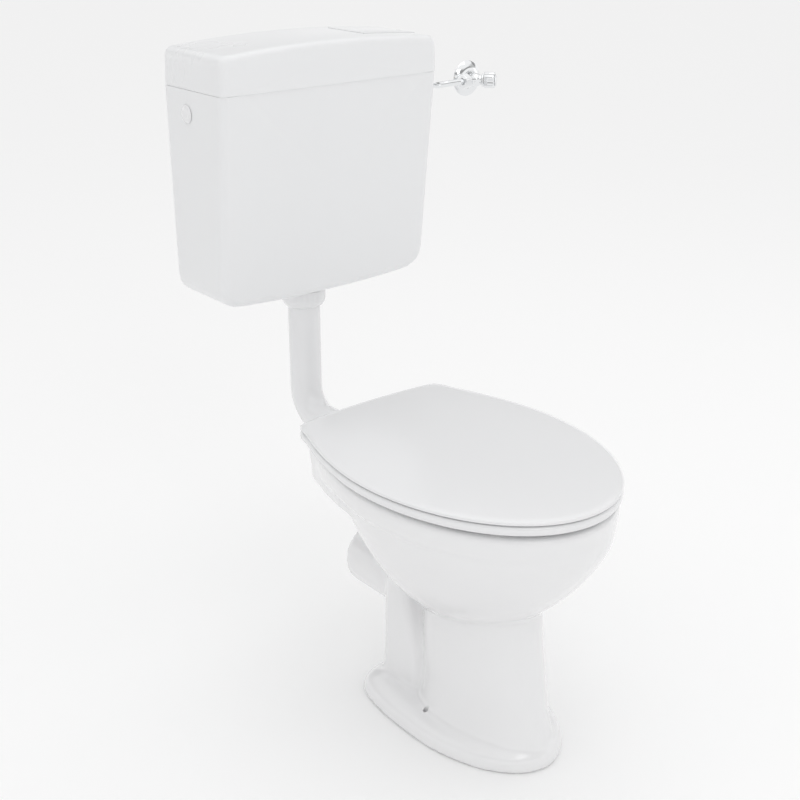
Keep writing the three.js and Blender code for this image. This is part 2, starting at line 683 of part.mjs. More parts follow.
// Front view of the lid, drawn smaller by inset for its inside.
function lidFront(inset, bottom) {
  const side = TANK_HALF - inset;
  const draw = 2;
  const shape = new THREE.Shape();
  shape.moveTo(-side, bottom);
  shape.lineTo(side, bottom);
  shape.lineTo(side - draw, archZ(side) - inset - LID_CORNER);
  shape.quadraticCurveTo(side - draw, archZ(side) - inset, side - draw - LID_CORNER, archZ(side - LID_CORNER) - inset);
  const crown = 2 * archZ(0) - archZ(side - LID_CORNER);
  shape.quadraticCurveTo(0, crown - inset, draw + LID_CORNER - side, archZ(side - LID_CORNER) - inset);
  shape.quadraticCurveTo(draw - side, archZ(side) - inset, draw - side, archZ(side) - inset - LID_CORNER);
  shape.closePath();
  return shape;
}

function lidBody(inset, bottom, edge) {
  const options = {
    depth: TANK_DEPTH - inset + edge + 2 - 2 * edge,
    curveSegments: 12,
    bevelEnabled: true,
    bevelSize: edge,
    bevelThickness: edge,
    bevelOffset: -edge,
    bevelSegments: 4,
  };
  const geometry = new THREE.ExtrudeGeometry(lidFront(inset, bottom), options);
  geometry.rotateX(Math.PI / 2).translate(0, WALL_Y + 2, 0);
  const cap = block([-2 * TANK_HALF, 2 * TANK_HALF], [0, WALL_Y - inset], [bottom + edge, TANK_TOP + 200]);
  return solid(geometry).intersect(cap);
}

const plateFloor = archZ(PLATE_LEFT) - POCKET_DEPTH;
const platePinX = PLATE_LEFT + 4;
const platePinZ = archZ(platePinX) - PLATE_PIN_DROP;
const plateLugs = [[352, 358], [398, 404]];

function cisternLid() {
  const foot = TANK_TOP + GAP;
  const shell = lidBody(0, foot - LID_EDGE, LID_EDGE);
  const room = lidBody(TANK_WALL - 0.5, foot - LID_EDGE - 1, LID_EDGE - 3);
  const inside = TANK_HALF - TANK_WALL - 0.6;
  const lipFront = WALL_Y - TANK_DEPTH + TANK_WALL + 1.4;
  const lipBack = WALL_Y - TANK_WALL - 0.6;
  const throat = block([3 - inside, inside - 3], [lipFront + 3, lipBack - 3], [foot - 9, foot + 13]);
  const ledge = cut(block([-TANK_HALF, TANK_HALF], [0, WALL_Y], [foot, foot + 8]), throat);
  const lipEdges = [-1, 1].map((side) => block(
    sided(side, [inside - 11, inside + 2]), [lipFront - 1, lipFront + 11], [foot - 9, foot]));
  const lip = cut(block([-inside, inside], [lipFront, lipBack], [foot - 8, foot + 1]), throat, ...lipEdges);
  const tub = block(
    [PLATE_LEFT - POCKET_GAP - 3, PLATE_RIGHT + POCKET_GAP + 3],
    [PLATE_FRONT - POCKET_GAP - 3, PLATE_BACK + POCKET_GAP + 3],
    [plateFloor - 3, archZ(PLATE_RIGHT) - 4],
  );
  const pocket = block(
    [PLATE_LEFT - POCKET_GAP, PLATE_RIGHT + POCKET_GAP],
    [PLATE_FRONT - POCKET_GAP, PLATE_BACK + POCKET_GAP],
    [plateFloor, TANK_TOP + 100],
  );
  const ribs = plateLugs.map(([from]) => block(
    [platePinX - 4, platePinX + 4], [from - 5, from - 1], [plateFloor - 1, platePinZ + 4]));
  const pinHole = rod('y', PIN_THIN + RUNNING, plateLugs[0][0] - 7, plateLugs[1][1] + 3, [platePinX, platePinZ], SMALL_SIDES);
  const stemSlot = block([STEM_X - 18, STEM_X + 8], [LEVER_Y - 9, LEVER_Y + 9], [plateFloor - 5, plateFloor + 1]);
  const hollow = join(cut(shell, cut(room, ledge)), lip, tub);
  return cut(join(cut(hollow, pocket), ...ribs), stemSlot, pinHole);
}

function flushPlate() {
  const top = new THREE.Shape();
  const left = archZ(PLATE_LEFT) + PLATE_PROUD;
  const right = archZ(PLATE_RIGHT) + PLATE_PROUD;
  const middle = (PLATE_LEFT + PLATE_RIGHT) / 2;
  const bulge = 2 * (archZ(middle) + PLATE_PROUD) - (left + right) / 2;
  top.moveTo(PLATE_LEFT, left - PLATE_THICK);
  top.quadraticCurveTo(middle, bulge - PLATE_THICK, PLATE_RIGHT, right - PLATE_THICK);
  top.lineTo(PLATE_RIGHT, right);
  top.quadraticCurveTo(middle, bulge, PLATE_LEFT, left);
  top.closePath();
  const plate = plateXZ(top, PLATE_FRONT, PLATE_BACK, 8);
  const stem = block([STEM_X - 4, STEM_X + 4], [LEVER_Y - 6, LEVER_Y + 6],
    [LEVER_Z + 4 + 2 * GAP, archZ(STEM_X) - PLATE_THICK + 2]);
  const lugs = plateLugs.map(([from, to]) => block(
    [platePinX - 3.5, platePinX + 3.5], [from, to], [platePinZ - 4, left - PLATE_THICK + 2]));
  const hole = rod('y', PIN_THIN + RUNNING, plateLugs[0][0] - 1, plateLugs[1][1] + 1, [platePinX, platePinZ], SMALL_SIDES);
  return cut(join(plate, stem, ...lugs), hole);
}

place('cistern_tank', cisternTank(), tankPlastic());
place('cistern_lid', cisternLid(), tankPlastic());
place('flush_plate', flushPlate(), tankPlastic());
place('plate_pin', rod('y', PIN_THIN, plateLugs[0][0] - 6, plateLugs[1][1] + 2, [platePinX, platePinZ], SMALL_SIDES),
  zincSteel());

for (const [side, name] of SIDE_NAMES) {
  const at = [side * SCREW_X, WALL_Y, SCREW_Z];
  const inner = WALL_Y - TANK_WALL - GAP;
  const screw = turned([[0, -13], [6, -11.5], [6, -8], [3.6, -8], [3.6, 28], [0, 36]], 'y', at, SMALL_SIDES);
  place(`wall_screw_${name}`, screw, zincSteel());
  place(`screw_washer_${name}`, sleeve('y', 10, 3.6 + RUNNING, inner - 3, inner, [at[0], at[2]], SIDES), innerPlastic());
}

// ---------------------------------------------------------------- flush valve and flush pipe
const TANK_FLOOR = TANK_TOP - TANK_HEIGHT - TANK_BOW;
const SEAT_FLANGE_Z = TANK_FLOOR + TANK_WALL + 5;
const TAIL_END = TANK_FLOOR - 23;
const SEAT_LIP_Z = SEAT_FLANGE_Z + 13;
const GUIDE_Z = SEAT_LIP_Z + 90;
const RISER_RADIUS = 14;
const COLLAR_Z = LEVER_Z + 4.4;
const COLLAR_RADIUS = 24;
const flushAt = [0, FLUSH_Y];

function valveSeat() {
  const tail = rod('z', TAIL_RADIUS, TAIL_END, SEAT_FLANGE_Z + 2, flushAt, FINE_SIDES);
  const flange = rod('z', 38, SEAT_FLANGE_Z, SEAT_FLANGE_Z + 4, flushAt, FINE_SIDES);
  const lip = rod('z', TAIL_BORE + 4, SEAT_FLANGE_Z, SEAT_LIP_Z, flushAt, FINE_SIDES);
  const bore = rod('z', TAIL_BORE, TAIL_END - 1, SEAT_LIP_Z + 1, flushAt, FINE_SIDES);
  const posts = [-1, 1].map((side) => block(
    sided(side, [33, 37]), [FLUSH_Y - 6, FLUSH_Y + 6], [SEAT_FLANGE_Z + 2, GUIDE_Z + 7]));
  const bridge = block([-37, 37], [FLUSH_Y - 6, FLUSH_Y + 6], [GUIDE_Z, GUIDE_Z + 7]);
  const collar = rod('z', RISER_RADIUS + 6, GUIDE_Z, GUIDE_Z + 7, flushAt, FINE_SIDES);
  const guide = rod('z', RISER_RADIUS + 2 * RUNNING, GUIDE_Z - 1, GUIDE_Z + 8, flushAt, FINE_SIDES);
  return cut(join(cut(join(tail, flange, lip), bore), ...posts, bridge, collar), guide);
}

function flushValve() {
  const base = SEAT_LIP_Z + 4;
  const profile = [
    [0, base], [30, base], [30, base + 3], [RISER_RADIUS + 3, base + 8], [RISER_RADIUS, base + 14],
    [RISER_RADIUS, COLLAR_Z], [COLLAR_RADIUS, COLLAR_Z], [COLLAR_RADIUS, COLLAR_Z + 4],
    [RISER_RADIUS, COLLAR_Z + 7], [0, COLLAR_Z + 7],
  ];
  const body = turned(profile, 'z', [0, FLUSH_Y, 0], FINE_SIDES);
  return cut(body, rod('z', RISER_RADIUS - 3, base - 1, COLLAR_Z + 8, flushAt));
}

function pipeNut() {
  const top = TANK_FLOOR - 8 - GAP;
  const foot = TAIL_END - 12;
  const profile = [
    [0, foot], [PIPE_RADIUS + 3, foot], [NUT_RADIUS - 2.5, foot + 4], [NUT_RADIUS, foot + 10],
    [NUT_RADIUS, top], [0, top],
  ];
  const nut = turned(profile, 'z', [0, FLUSH_Y, 0], FINE_SIDES);
  const thread = rod('z', TAIL_RADIUS + RUNNING, foot + 5, top + 1, flushAt, FINE_SIDES);
  const socket = rod('z', TAIL_RADIUS + 3.5, foot + 5, TAIL_END, flushAt, FINE_SIDES);
  return cut(nut, thread, socket, rod('z', PIPE_RADIUS + RUNNING, foot - 1, top, flushAt, FINE_SIDES));
}

function flushPipe() {
  const top = TAIL_END - GAP;
  const nose = DECK_BACK + HORN_LENGTH + 2;
  const bend = new THREE.CurvePath();
  const corner = new THREE.Vector3(0, FLUSH_Y, HORN_Z);
  const above = new THREE.Vector3(0, FLUSH_Y, HORN_Z + PIPE_BEND);
  const ahead = new THREE.Vector3(0, FLUSH_Y - PIPE_BEND, HORN_Z);
  const tangent = 0.448;
  bend.add(new THREE.LineCurve3(new THREE.Vector3(0, FLUSH_Y, top), above));
  bend.add(new THREE.CubicBezierCurve3(
    above, above.clone().lerp(corner, 1 - tangent), ahead.clone().lerp(corner, 1 - tangent), ahead));
  bend.add(new THREE.LineCurve3(ahead, new THREE.Vector3(0, nose, HORN_Z)));
  return pipe(bend, PIPE_RADIUS, PIPE_RADIUS - PIPE_WALL, 15, FINE_SIDES - 4);
}

function inletCone() {
  const start = DECK_BACK + 2.5;
  const end = DECK_BACK + HORN_LENGTH + 42;
  const hornEnd = DECK_BACK + HORN_LENGTH + 1;
  const profile = [[0, start], [30.2, start], [30.2, hornEnd], [28.5, end - 6], [27.5, end], [0, end]];
  const body = turned(profile, 'y', [0, 0, HORN_Z], FINE_SIDES);
  const onHorn = rod('y', HORN_RADIUS + GAP, start - 1, hornEnd, [0, HORN_Z], FINE_SIDES);
  const onPipe = rod('y', PIPE_RADIUS + GAP, start, end + 1, [0, HORN_Z], FINE_SIDES);
  return cut(body, onHorn, onPipe);
}

place('valve_seat', valveSeat(), innerPlastic());
place('seat_gasket', sleeve('z', 38, TAIL_RADIUS + RUNNING, TANK_FLOOR + TANK_WALL + 1.2, SEAT_FLANGE_Z - GAP,
  flushAt, FINE_SIDES), rubber());
place('tank_backnut', cut(
  rod('z', 35, TANK_FLOOR - 7, TANK_FLOOR - GAP, flushAt, 8),
  rod('z', TAIL_RADIUS + RUNNING, TANK_FLOOR - 8, TANK_FLOOR + 1, flushAt, FINE_SIDES)), innerPlastic());
place('flush_valve', flushValve(), bluePlastic());
place('valve_washer', sleeve('z', 29, 9, SEAT_LIP_Z + GAP, SEAT_LIP_Z + 4 - GAP, flushAt, FINE_SIDES), rubber());
place('pipe_nut', pipeNut(), seatPlastic());
place('pipe_seal', sleeve('z', TAIL_RADIUS + 3, PIPE_RADIUS + GAP, TAIL_END - 6.5, TAIL_END - GAP, flushAt, FINE_SIDES),
  rubber());
place('flush_pipe', flushPipe(), seatPlastic());
place('inlet_cone', inletCone(), whiteRubber());

// ---------------------------------------------------------------- lift lever
function liftLever() {
  const bar = block([-4, STEM_X + 8], [LEVER_Y - 4, LEVER_Y + 4], [LEVER_Z - 4, LEVER_Z + 4]);
  const pad = block([STEM_X - 20, STEM_X + 8], [LEVER_Y - 9, LEVER_Y + 9], [LEVER_Z - 1, LEVER_Z + 4]);
  const finger = block([-4, 4], [LEVER_Y, FLUSH_Y - RISER_RADIUS - 2], [LEVER_Z - 3, LEVER_Z + 4]);
  const hub = rod('y', 8, LEVER_Y - 4, LEVER_Y + 4, [LEVER_PIVOT_X, LEVER_Z]);
  const hole = rod('y', 3 + RUNNING, LEVER_Y - 5, LEVER_Y + 5, [LEVER_PIVOT_X, LEVER_Z], SMALL_SIDES);
  return cut(join(bar, pad, finger, hub), hole);
}

function leverBracket() {
  const inner = tankFaceY(LEVER_Z - 26) + TANK_WALL + 1;
  const x = [LEVER_PIVOT_X - 9, LEVER_PIVOT_X + 9];
  const foot = block(x, [inner, LEVER_Y + 9], [LEVER_Z - 20, LEVER_Z - 13]);
  const back = block(x, [inner, inner + 5], [LEVER_Z - 20, LEVER_Z + 9]);
  const ears = [[-9.5, -4.6], [4.6, 9]].map(([from, to]) => block(
    x, [LEVER_Y + from, LEVER_Y + to], [LEVER_Z - 20, LEVER_Z + 7]));
  const hole = rod('y', 3 + RUNNING, LEVER_Y - 11, LEVER_Y + 10, [LEVER_PIVOT_X, LEVER_Z], SMALL_SIDES);
  return cut(join(foot, back, ...ears), hole);
}

place('lever_bracket', leverBracket(), innerPlastic());
place('lever_pin', rod('y', 3, LEVER_Y - 11, LEVER_Y + 10.5, [LEVER_PIVOT_X, LEVER_Z], SMALL_SIDES), zincSteel());
place('lift_lever', liftLever(), bluePlastic());

// ---------------------------------------------------------------- fill valve, plug and supply
const inletAt = [INLET_Y, INLET_Z];
const wallAtInlet = TANK_HALF - TANK_TAPER * (TANK_TOP - INLET_Z) / TANK_HEIGHT;
const innerWall = wallAtInlet - TANK_WALL;
const TUBE_OUTLET_X = innerWall - 16;

function fillValve() {
  const shank = rod('x', SHANK_RADIUS, innerWall - 6, wallAtInlet + 20, inletAt);
  const flange = rod('x', 16, innerWall - 6, innerWall - 3, inletAt);
  const body = rod('x', 11, ARM_PIVOT_X - 2, innerWall - 4, inletAt);
  const outlet = rod('z', 8, INLET_Z - 14, INLET_Z, [TUBE_OUTLET_X, INLET_Y]);
  const cheeks = [[-10, -5.6], [5.6, 10]].map(([from, to]) => block(
    [ARM_PIVOT_X - 8, ARM_PIVOT_X + 8], [INLET_Y + from, INLET_Y + to], [ARM_PIVOT_Z - 6, INLET_Z]));
  const waterway = rod('x', 5, ARM_PIVOT_X + 24, wallAtInlet + 21, inletAt, SMALL_SIDES);
  const pistonBore = rod('x', 4 + RUNNING, ARM_PIVOT_X - 12, ARM_PIVOT_X + 25, inletAt, SMALL_SIDES);
  const armRoom = block(
    [ARM_PIVOT_X - 12, ARM_PIVOT_X + 1.5], [INLET_Y - 5.6, INLET_Y + 5.6], [ARM_PIVOT_Z - 10, INLET_Z + 15]);
  const tubeSocket = rod('z', 4, INLET_Z - 15, INLET_Z, [TUBE_OUTLET_X, INLET_Y], SMALL_SIDES);
  const pinHole = rod('y', 2.5 + RUNNING, INLET_Y - 11, INLET_Y + 11, [ARM_PIVOT_X, ARM_PIVOT_Z], SMALL_SIDES);
  return cut(join(shank, flange, body, outlet, ...cheeks), armRoom, waterway, pistonBore, tubeSocket, pinHole);
}

function floatArm() {
  const hub = rod('y', 6, INLET_Y - 5, INLET_Y + 5, [ARM_PIVOT_X, ARM_PIVOT_Z], SIDES);
  const bar = block([FLOAT_X - 20, ARM_PIVOT_X], [INLET_Y - 4, INLET_Y + 4], [ARM_PIVOT_Z - 3.5, ARM_PIVOT_Z + 3.5]);
  const finger = block([ARM_PIVOT_X - 9, ARM_PIVOT_X - 3], [INLET_Y - 4, INLET_Y + 4], [ARM_PIVOT_Z, INLET_Z + 3]);
  const hole = rod('y', 2.5 + RUNNING, INLET_Y - 6, INLET_Y + 6, [ARM_PIVOT_X, ARM_PIVOT_Z], SMALL_SIDES);
  return cut(join(hub, bar, finger), hole);
}

function floatBox() {
  const [length, width, height] = FLOAT_SIZE;
  const top = ARM_PIVOT_Z - 3.5 - GAP;
  const shape = new THREE.Shape();
  const corner = 9;
  const [l, r, b] = [FLOAT_X - length / 2, FLOAT_X + length / 2, top - height];
  shape.moveTo(l + corner, b);
  shape.lineTo(r - corner, b);
  shape.quadraticCurveTo(r, b, r, b + corner);
  shape.lineTo(r, top);
  shape.lineTo(l, top);
  shape.lineTo(l, b + corner);
  shape.quadraticCurveTo(l, b, l + corner, b);
  return plateXZ(shape, INLET_Y - width / 2, INLET_Y + width / 2, 4, 4);
}

place('fill_valve', fillValve(), innerPlastic());
place('fill_washer', sleeve('x', 15, SHANK_RADIUS + GAP, innerWall - 3 + GAP, innerWall - 0.8, inletAt), rubber());
place('fill_backnut', cut(
  hexagon('x', 28, wallAtInlet + 0.7, wallAtInlet + 8, inletAt),
  rod('x', SHANK_RADIUS + GAP, wallAtInlet, wallAtInlet + 9, inletAt)), innerPlastic());
place('fill_piston', rod('x', 4, ARM_PIVOT_X - 3 + GAP, ARM_PIVOT_X + 20, inletAt, SMALL_SIDES), bluePlastic());
place('arm_pin', rod('y', 2.5, INLET_Y - 10.5, INLET_Y + 10.5, [ARM_PIVOT_X, ARM_PIVOT_Z], SMALL_SIDES), zincSteel());
place('float_arm', floatArm(), bluePlastic());
place('float', floatBox(), innerPlastic());
place('fill_tube', sleeve('z', 6.5, 4.5, TANK_FLOOR + 45, INLET_Z - 14 - GAP, [TUBE_OUTLET_X, INLET_Y], SMALL_SIDES),
  innerPlastic());

function blankingPlug() {
  const face = -wallAtInlet - 0.5;
  const profile = [[0, face - 4], [8, face - 3.4], [12, face - 1.6], [13, face], [SHANK_RADIUS, face],
    [SHANK_RADIUS, face + 18], [0, face + 18]];
  return turned(profile, 'x', [0, INLET_Y, INLET_Z], FINE_SIDES);
}

place('blanking_plug', blankingPlug(), seatPlastic());
place('plug_nut', cut(
  hexagon('x', 27, -innerWall + 0.7, -innerWall + 8, inletAt),
  rod('x', SHANK_RADIUS + GAP, -innerWall, -innerWall + 9, inletAt)), innerPlastic());

const tubeStart = wallAtInlet + 20 + GAP;
const tubeEnd = VALVE_X - 17;

function supplyTube() {
  const near = [0, 10, 22].map((x) => new THREE.Vector3(tubeStart + x, INLET_Y, INLET_Z));
  const far = [-70, -40, -16, 0].map((x) => new THREE.Vector3(tubeEnd + x, VALVE_Y, VALVE_Z));
  const route = new THREE.CatmullRomCurve3([...near, ...far]);
  return pipe(route, TUBE_RADIUS, TUBE_RADIUS - 1, 15, SMALL_SIDES - 2);
}

// A union nut that holds the tube against a threaded end.
function tubeNut(start, end, at) {
  return cut(
    hexagon('x', 22, start, end, at),
    rod('x', TUBE_RADIUS + RUNNING, start - 1, end + 1, at, SMALL_SIDES),
  );
}

place('supply_tube', supplyTube(), chrome());
place('inlet_nut', cut(
  hexagon('x', 26, wallAtInlet + 9, wallAtInlet + 26, inletAt),
  rod('x', SHANK_RADIUS + GAP, wallAtInlet + 8, wallAtInlet + 20 + GAP, inletAt),
  rod('x', TUBE_RADIUS + RUNNING, wallAtInlet + 8, wallAtInlet + 27, inletAt, SMALL_SIDES)), brass());

// ---------------------------------------------------------------- angle valve on the wall
// Turns a solid built along -Y about the valve's middle, so that it points along the spindle.
function alongSpindle(manifold) {
  const middle = [VALVE_X, VALVE_Y, VALVE_Z];
  const away = middle.map((v) => -v);
  return manifold.translate(away).rotate([0, 0, HANDLE_TURN]).translate(middle);
}

function spindleRod(radius, from, to, sides = SIDES) {
  return alongSpindle(rod('y', radius, VALVE_Y - to, VALVE_Y - from, [VALVE_X, VALVE_Z], sides));
}

function valveBody() {
  const ball = solid(new THREE.SphereGeometry(11, 16, 10).translate(VALVE_X, VALVE_Y, VALVE_Z));
  const tail = rod('y', 10, VALVE_Y, WALL_Y + 14, [VALVE_X, VALVE_Z]);
  const outlet = rod('x', 8.5, VALVE_X - 16, VALVE_X, [VALVE_Y, VALVE_Z]);
  const neck = spindleRod(8.5, 0, 10.5);
  const inletBore = rod('y', 6, VALVE_Y, WALL_Y + 15, [VALVE_X, VALVE_Z], SMALL_SIDES);
  const outletBore = rod('x', 4, VALVE_X - 17, VALVE_X, [VALVE_Y, VALVE_Z], SMALL_SIDES);
  const spindleBore = spindleRod(3 + RUNNING, 0, 12, SMALL_SIDES);
  return cut(join(ball, tail, outlet, neck), inletBore, outletBore, spindleBore);
}

function valveHandle() {
  const round = 5;
  const shape = new THREE.Shape();
  for (let lobe = 0; lobe < round; lobe += 1) {
    const at = (angle, radius) => [radius * Math.cos(angle), radius * Math.sin(angle)];
    const step = (2 * Math.PI) / round;
    const [x0, y0] = at(lobe * step, HANDLE_RADIUS);
    const [x1, y1] = at((lobe + 0.5) * step, HANDLE_RADIUS - 3);
    const [x2, y2] = at((lobe + 1) * step, HANDLE_RADIUS);
    const [ca, cb] = at((lobe + 0.25) * step, HANDLE_RADIUS + 0.5);
    const [da, db] = at((lobe + 0.75) * step, HANDLE_RADIUS + 0.5);
    if (lobe === 0) shape.moveTo(x0, y0);
    shape.quadraticCurveTo(ca, cb, x1, y1);
    shape.quadraticCurveTo(da, db, x2, y2);
  }
  const grip = plateXZ(shape, -32, -14, 2, 1.5);
  const placed = grip.translate([VALVE_X, VALVE_Y, VALVE_Z]);
  return cut(alongSpindle(placed), spindleRod(3 + GAP, 12, 28, SMALL_SIDES));
}

place('valve_body', valveBody(), chrome());
place('valve_nut', tubeNut(VALVE_X - 30, VALVE_X - 16 - GAP, [VALVE_Y, VALVE_Z]), chrome());
place('valve_bonnet', alongSpindle(cut(
  hexagon('y', 19, VALVE_Y - 13.4, VALVE_Y - 10.8, [VALVE_X, VALVE_Z]),
  rod('y', 3 + RUNNING, VALVE_Y - 15, VALVE_Y - 10, [VALVE_X, VALVE_Z], SMALL_SIDES))), chrome());
place('valve_spindle', spindleRod(3, 3, 27.5, SMALL_SIDES), brass());
place('valve_handle', valveHandle(), chrome());
place('handle_cap', spindleRod(HANDLE_RADIUS - 4, 32 + GAP, 35), chrome());
place('rosette', cut(
  turned([[0, WALL_Y - 9], [14, WALL_Y - 9], [22, WALL_Y - 6.5], [ROSETTE_RADIUS, WALL_Y - 2],
    [ROSETTE_RADIUS, WALL_Y], [0, WALL_Y]], 'y', [VALVE_X, 0, VALVE_Z], FINE_SIDES),
  rod('y', 10 + RUNNING, WALL_Y - 10, WALL_Y + 1, [VALVE_X, VALVE_Z])), chrome());

export default object;
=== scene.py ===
import json
import math

import bmesh
import bpy
from mathutils import Matrix, Vector


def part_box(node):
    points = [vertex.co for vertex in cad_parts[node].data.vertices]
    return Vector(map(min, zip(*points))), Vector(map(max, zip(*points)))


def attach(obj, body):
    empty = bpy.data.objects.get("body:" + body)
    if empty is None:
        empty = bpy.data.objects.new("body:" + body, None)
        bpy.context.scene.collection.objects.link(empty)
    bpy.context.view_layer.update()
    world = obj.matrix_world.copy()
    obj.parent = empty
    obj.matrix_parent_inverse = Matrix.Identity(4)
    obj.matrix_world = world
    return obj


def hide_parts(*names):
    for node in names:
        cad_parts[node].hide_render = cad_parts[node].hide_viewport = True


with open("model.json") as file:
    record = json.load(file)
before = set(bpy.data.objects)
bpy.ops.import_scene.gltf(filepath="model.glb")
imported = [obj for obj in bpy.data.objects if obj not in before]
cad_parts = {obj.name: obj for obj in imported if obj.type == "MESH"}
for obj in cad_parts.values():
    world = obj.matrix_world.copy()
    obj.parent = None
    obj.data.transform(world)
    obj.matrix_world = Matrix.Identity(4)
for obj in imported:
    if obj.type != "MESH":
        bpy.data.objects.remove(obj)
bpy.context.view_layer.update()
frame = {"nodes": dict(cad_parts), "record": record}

MM = 0.001
PLAN_POINTS = 128            # points round a plan outline
ROUND_SIDES = 64             # sides of a turned piece


def low(node, axis):
    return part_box(node)[0]["xyz".index(axis)]


def high(node, axis):
    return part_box(node)[1]["xyz".index(axis)]


# ------------------------------------------------------------------ finishes
def node_group(name, inputs, outputs):
    group = bpy.data.node_groups.new(name, "ShaderNodeTree")
    for label, kind, value in inputs:
        socket = group.interface.new_socket(label, in_out="INPUT", socket_type=kind)
        socket.default_value = value
    for label, kind in outputs:
        group.interface.new_socket(label, in_out="OUTPUT", socket_type=kind)
    return group, group.nodes.new("NodeGroupInput"), group.nodes.new("NodeGroupOutput")


def noise(nodes, links, place, scale, detail):
    """A noise texture on object coordinates, with its scale from a socket."""
    node = nodes.new("ShaderNodeTexNoise")
    node.inputs["Detail"].default_value = detail
    node.inputs["Roughness"].default_value = 0.55
    links.new(place, node.inputs["Vector"])
    links.new(scale, node.inputs["Scale"])
    return node.outputs["Fac"]


def two_tones(nodes, links, share, tone_a, tone_b):
    """Mixes two colour sockets by a noise value."""
    tone = nodes.new("ShaderNodeMix")
    tone.data_type = "RGBA"
    links.new(share, tone.inputs["Factor"])
    links.new(tone_a, tone.inputs["A"])
    links.new(tone_b, tone.inputs["B"])
    return tone.outputs["Result"]


def spread(nodes, links, value, low_end, high_end):
    """Maps a 0.35 to 0.65 noise value onto a range given by two sockets."""
    node = nodes.new("ShaderNodeMapRange")
    node.inputs["From Min"].default_value = 0.35
    node.inputs["From Max"].default_value = 0.65
    links.new(value, node.inputs["Value"])
    links.new(low_end, node.inputs["To Min"])
    links.new(high_end, node.inputs["To Max"])
    return node.outputs["Result"]


# What every effect group puts out.
SURFACE = [("Color", "NodeSocketColor"), ("Roughness", "NodeSocketFloat"), ("Height", "NodeSocketFloat")]


def fired_glaze_group():
    """Glaze: slow pooling of tone, a faint orange peel, and pin-prick speckles."""
    group, given, result = node_group(
        "fired_glaze",
        [("Glaze Color", "NodeSocketColor", (0.86, 0.855, 0.84, 1)),
         ("Pooled Color", "NodeSocketColor", (0.8, 0.8, 0.78, 1)),
         ("Pool Scale", "NodeSocketFloat", 6.0),
         ("Peel Scale", "NodeSocketFloat", 90.0),
         ("Low Roughness", "NodeSocketFloat", 0.05),
         ("High Roughness", "NodeSocketFloat", 0.12)],
        SURFACE)
    nodes, links = group.nodes, group.links
    place = nodes.new("ShaderNodeTexCoord").outputs["Object"]
    pool = noise(nodes, links, place, given.outputs["Pool Scale"], 3)
    tone = two_tones(nodes, links, pool, given.outputs["Glaze Color"], given.outputs["Pooled Color"])
    speck = nodes.new("ShaderNodeTexVoronoi")
    speck.inputs["Scale"].default_value = 210
    links.new(place, speck.inputs["Vector"])
    dot = nodes.new("ShaderNodeMapRange")
    dot.inputs["From Min"].default_value = 0.03
    dot.inputs["From Max"].default_value = 0.07
    dot.inputs["To Min"].default_value = 0.965
    dot.inputs["To Max"].default_value = 1.0
    links.new(speck.outputs["Distance"], dot.inputs["Value"])
    toned = nodes.new("ShaderNodeMix")
    toned.data_type = "RGBA"
    toned.blend_type = "MULTIPLY"
    toned.inputs["Factor"].default_value = 1.0
    links.new(tone, toned.inputs["A"])
    links.new(dot.outputs["Result"], toned.inputs["B"])
    links.new(toned.outputs["Result"], result.inputs["Color"])
    peel = noise(nodes, links, place, given.outputs["Peel Scale"], 2)
    links.new(spread(nodes, links, pool, given.outputs["Low Roughness"], given.outputs["High Roughness"]),
              result.inputs["Roughness"])
    links.new(peel, result.inputs["Height"])
    return group


def moulded_skin_group():
    """Moulded plastic: flow marks in tone and gloss, and a fine stipple."""
    group, given, result = node_group(
        "moulded_skin",
        [("Plastic Color", "NodeSocketColor", (0.85, 0.85, 0.85, 1)),
         ("Flow Color", "NodeSocketColor", (0.8, 0.8, 0.8, 1)),
         ("Flow Scale", "NodeSocketFloat", 5.0),
         ("Stipple Scale", "NodeSocketFloat", 900.0),
         ("Low Roughness", "NodeSocketFloat", 0.2),
         ("High Roughness", "NodeSocketFloat", 0.3)],
        SURFACE)
    nodes, links = group.nodes, group.links
    place = nodes.new("ShaderNodeTexCoord").outputs["Object"]
    stretch = nodes.new("ShaderNodeMapping")
    stretch.inputs["Scale"].default_value = (1.0, 1.0, 0.35)
    links.new(place, stretch.inputs["Vector"])
    flow = noise(nodes, links, stretch.outputs["Vector"], given.outputs["Flow Scale"], 4)
    tone = two_tones(nodes, links, flow, given.outputs["Plastic Color"], given.outputs["Flow Color"])
    links.new(tone, result.inputs["Color"])
    stipple = noise(nodes, links, place, given.outputs["Stipple Scale"], 1)
    links.new(spread(nodes, links, flow, given.outputs["Low Roughness"], given.outputs["High Roughness"]),
              result.inputs["Roughness"])
    links.new(stipple, result.inputs["Height"])
    return group


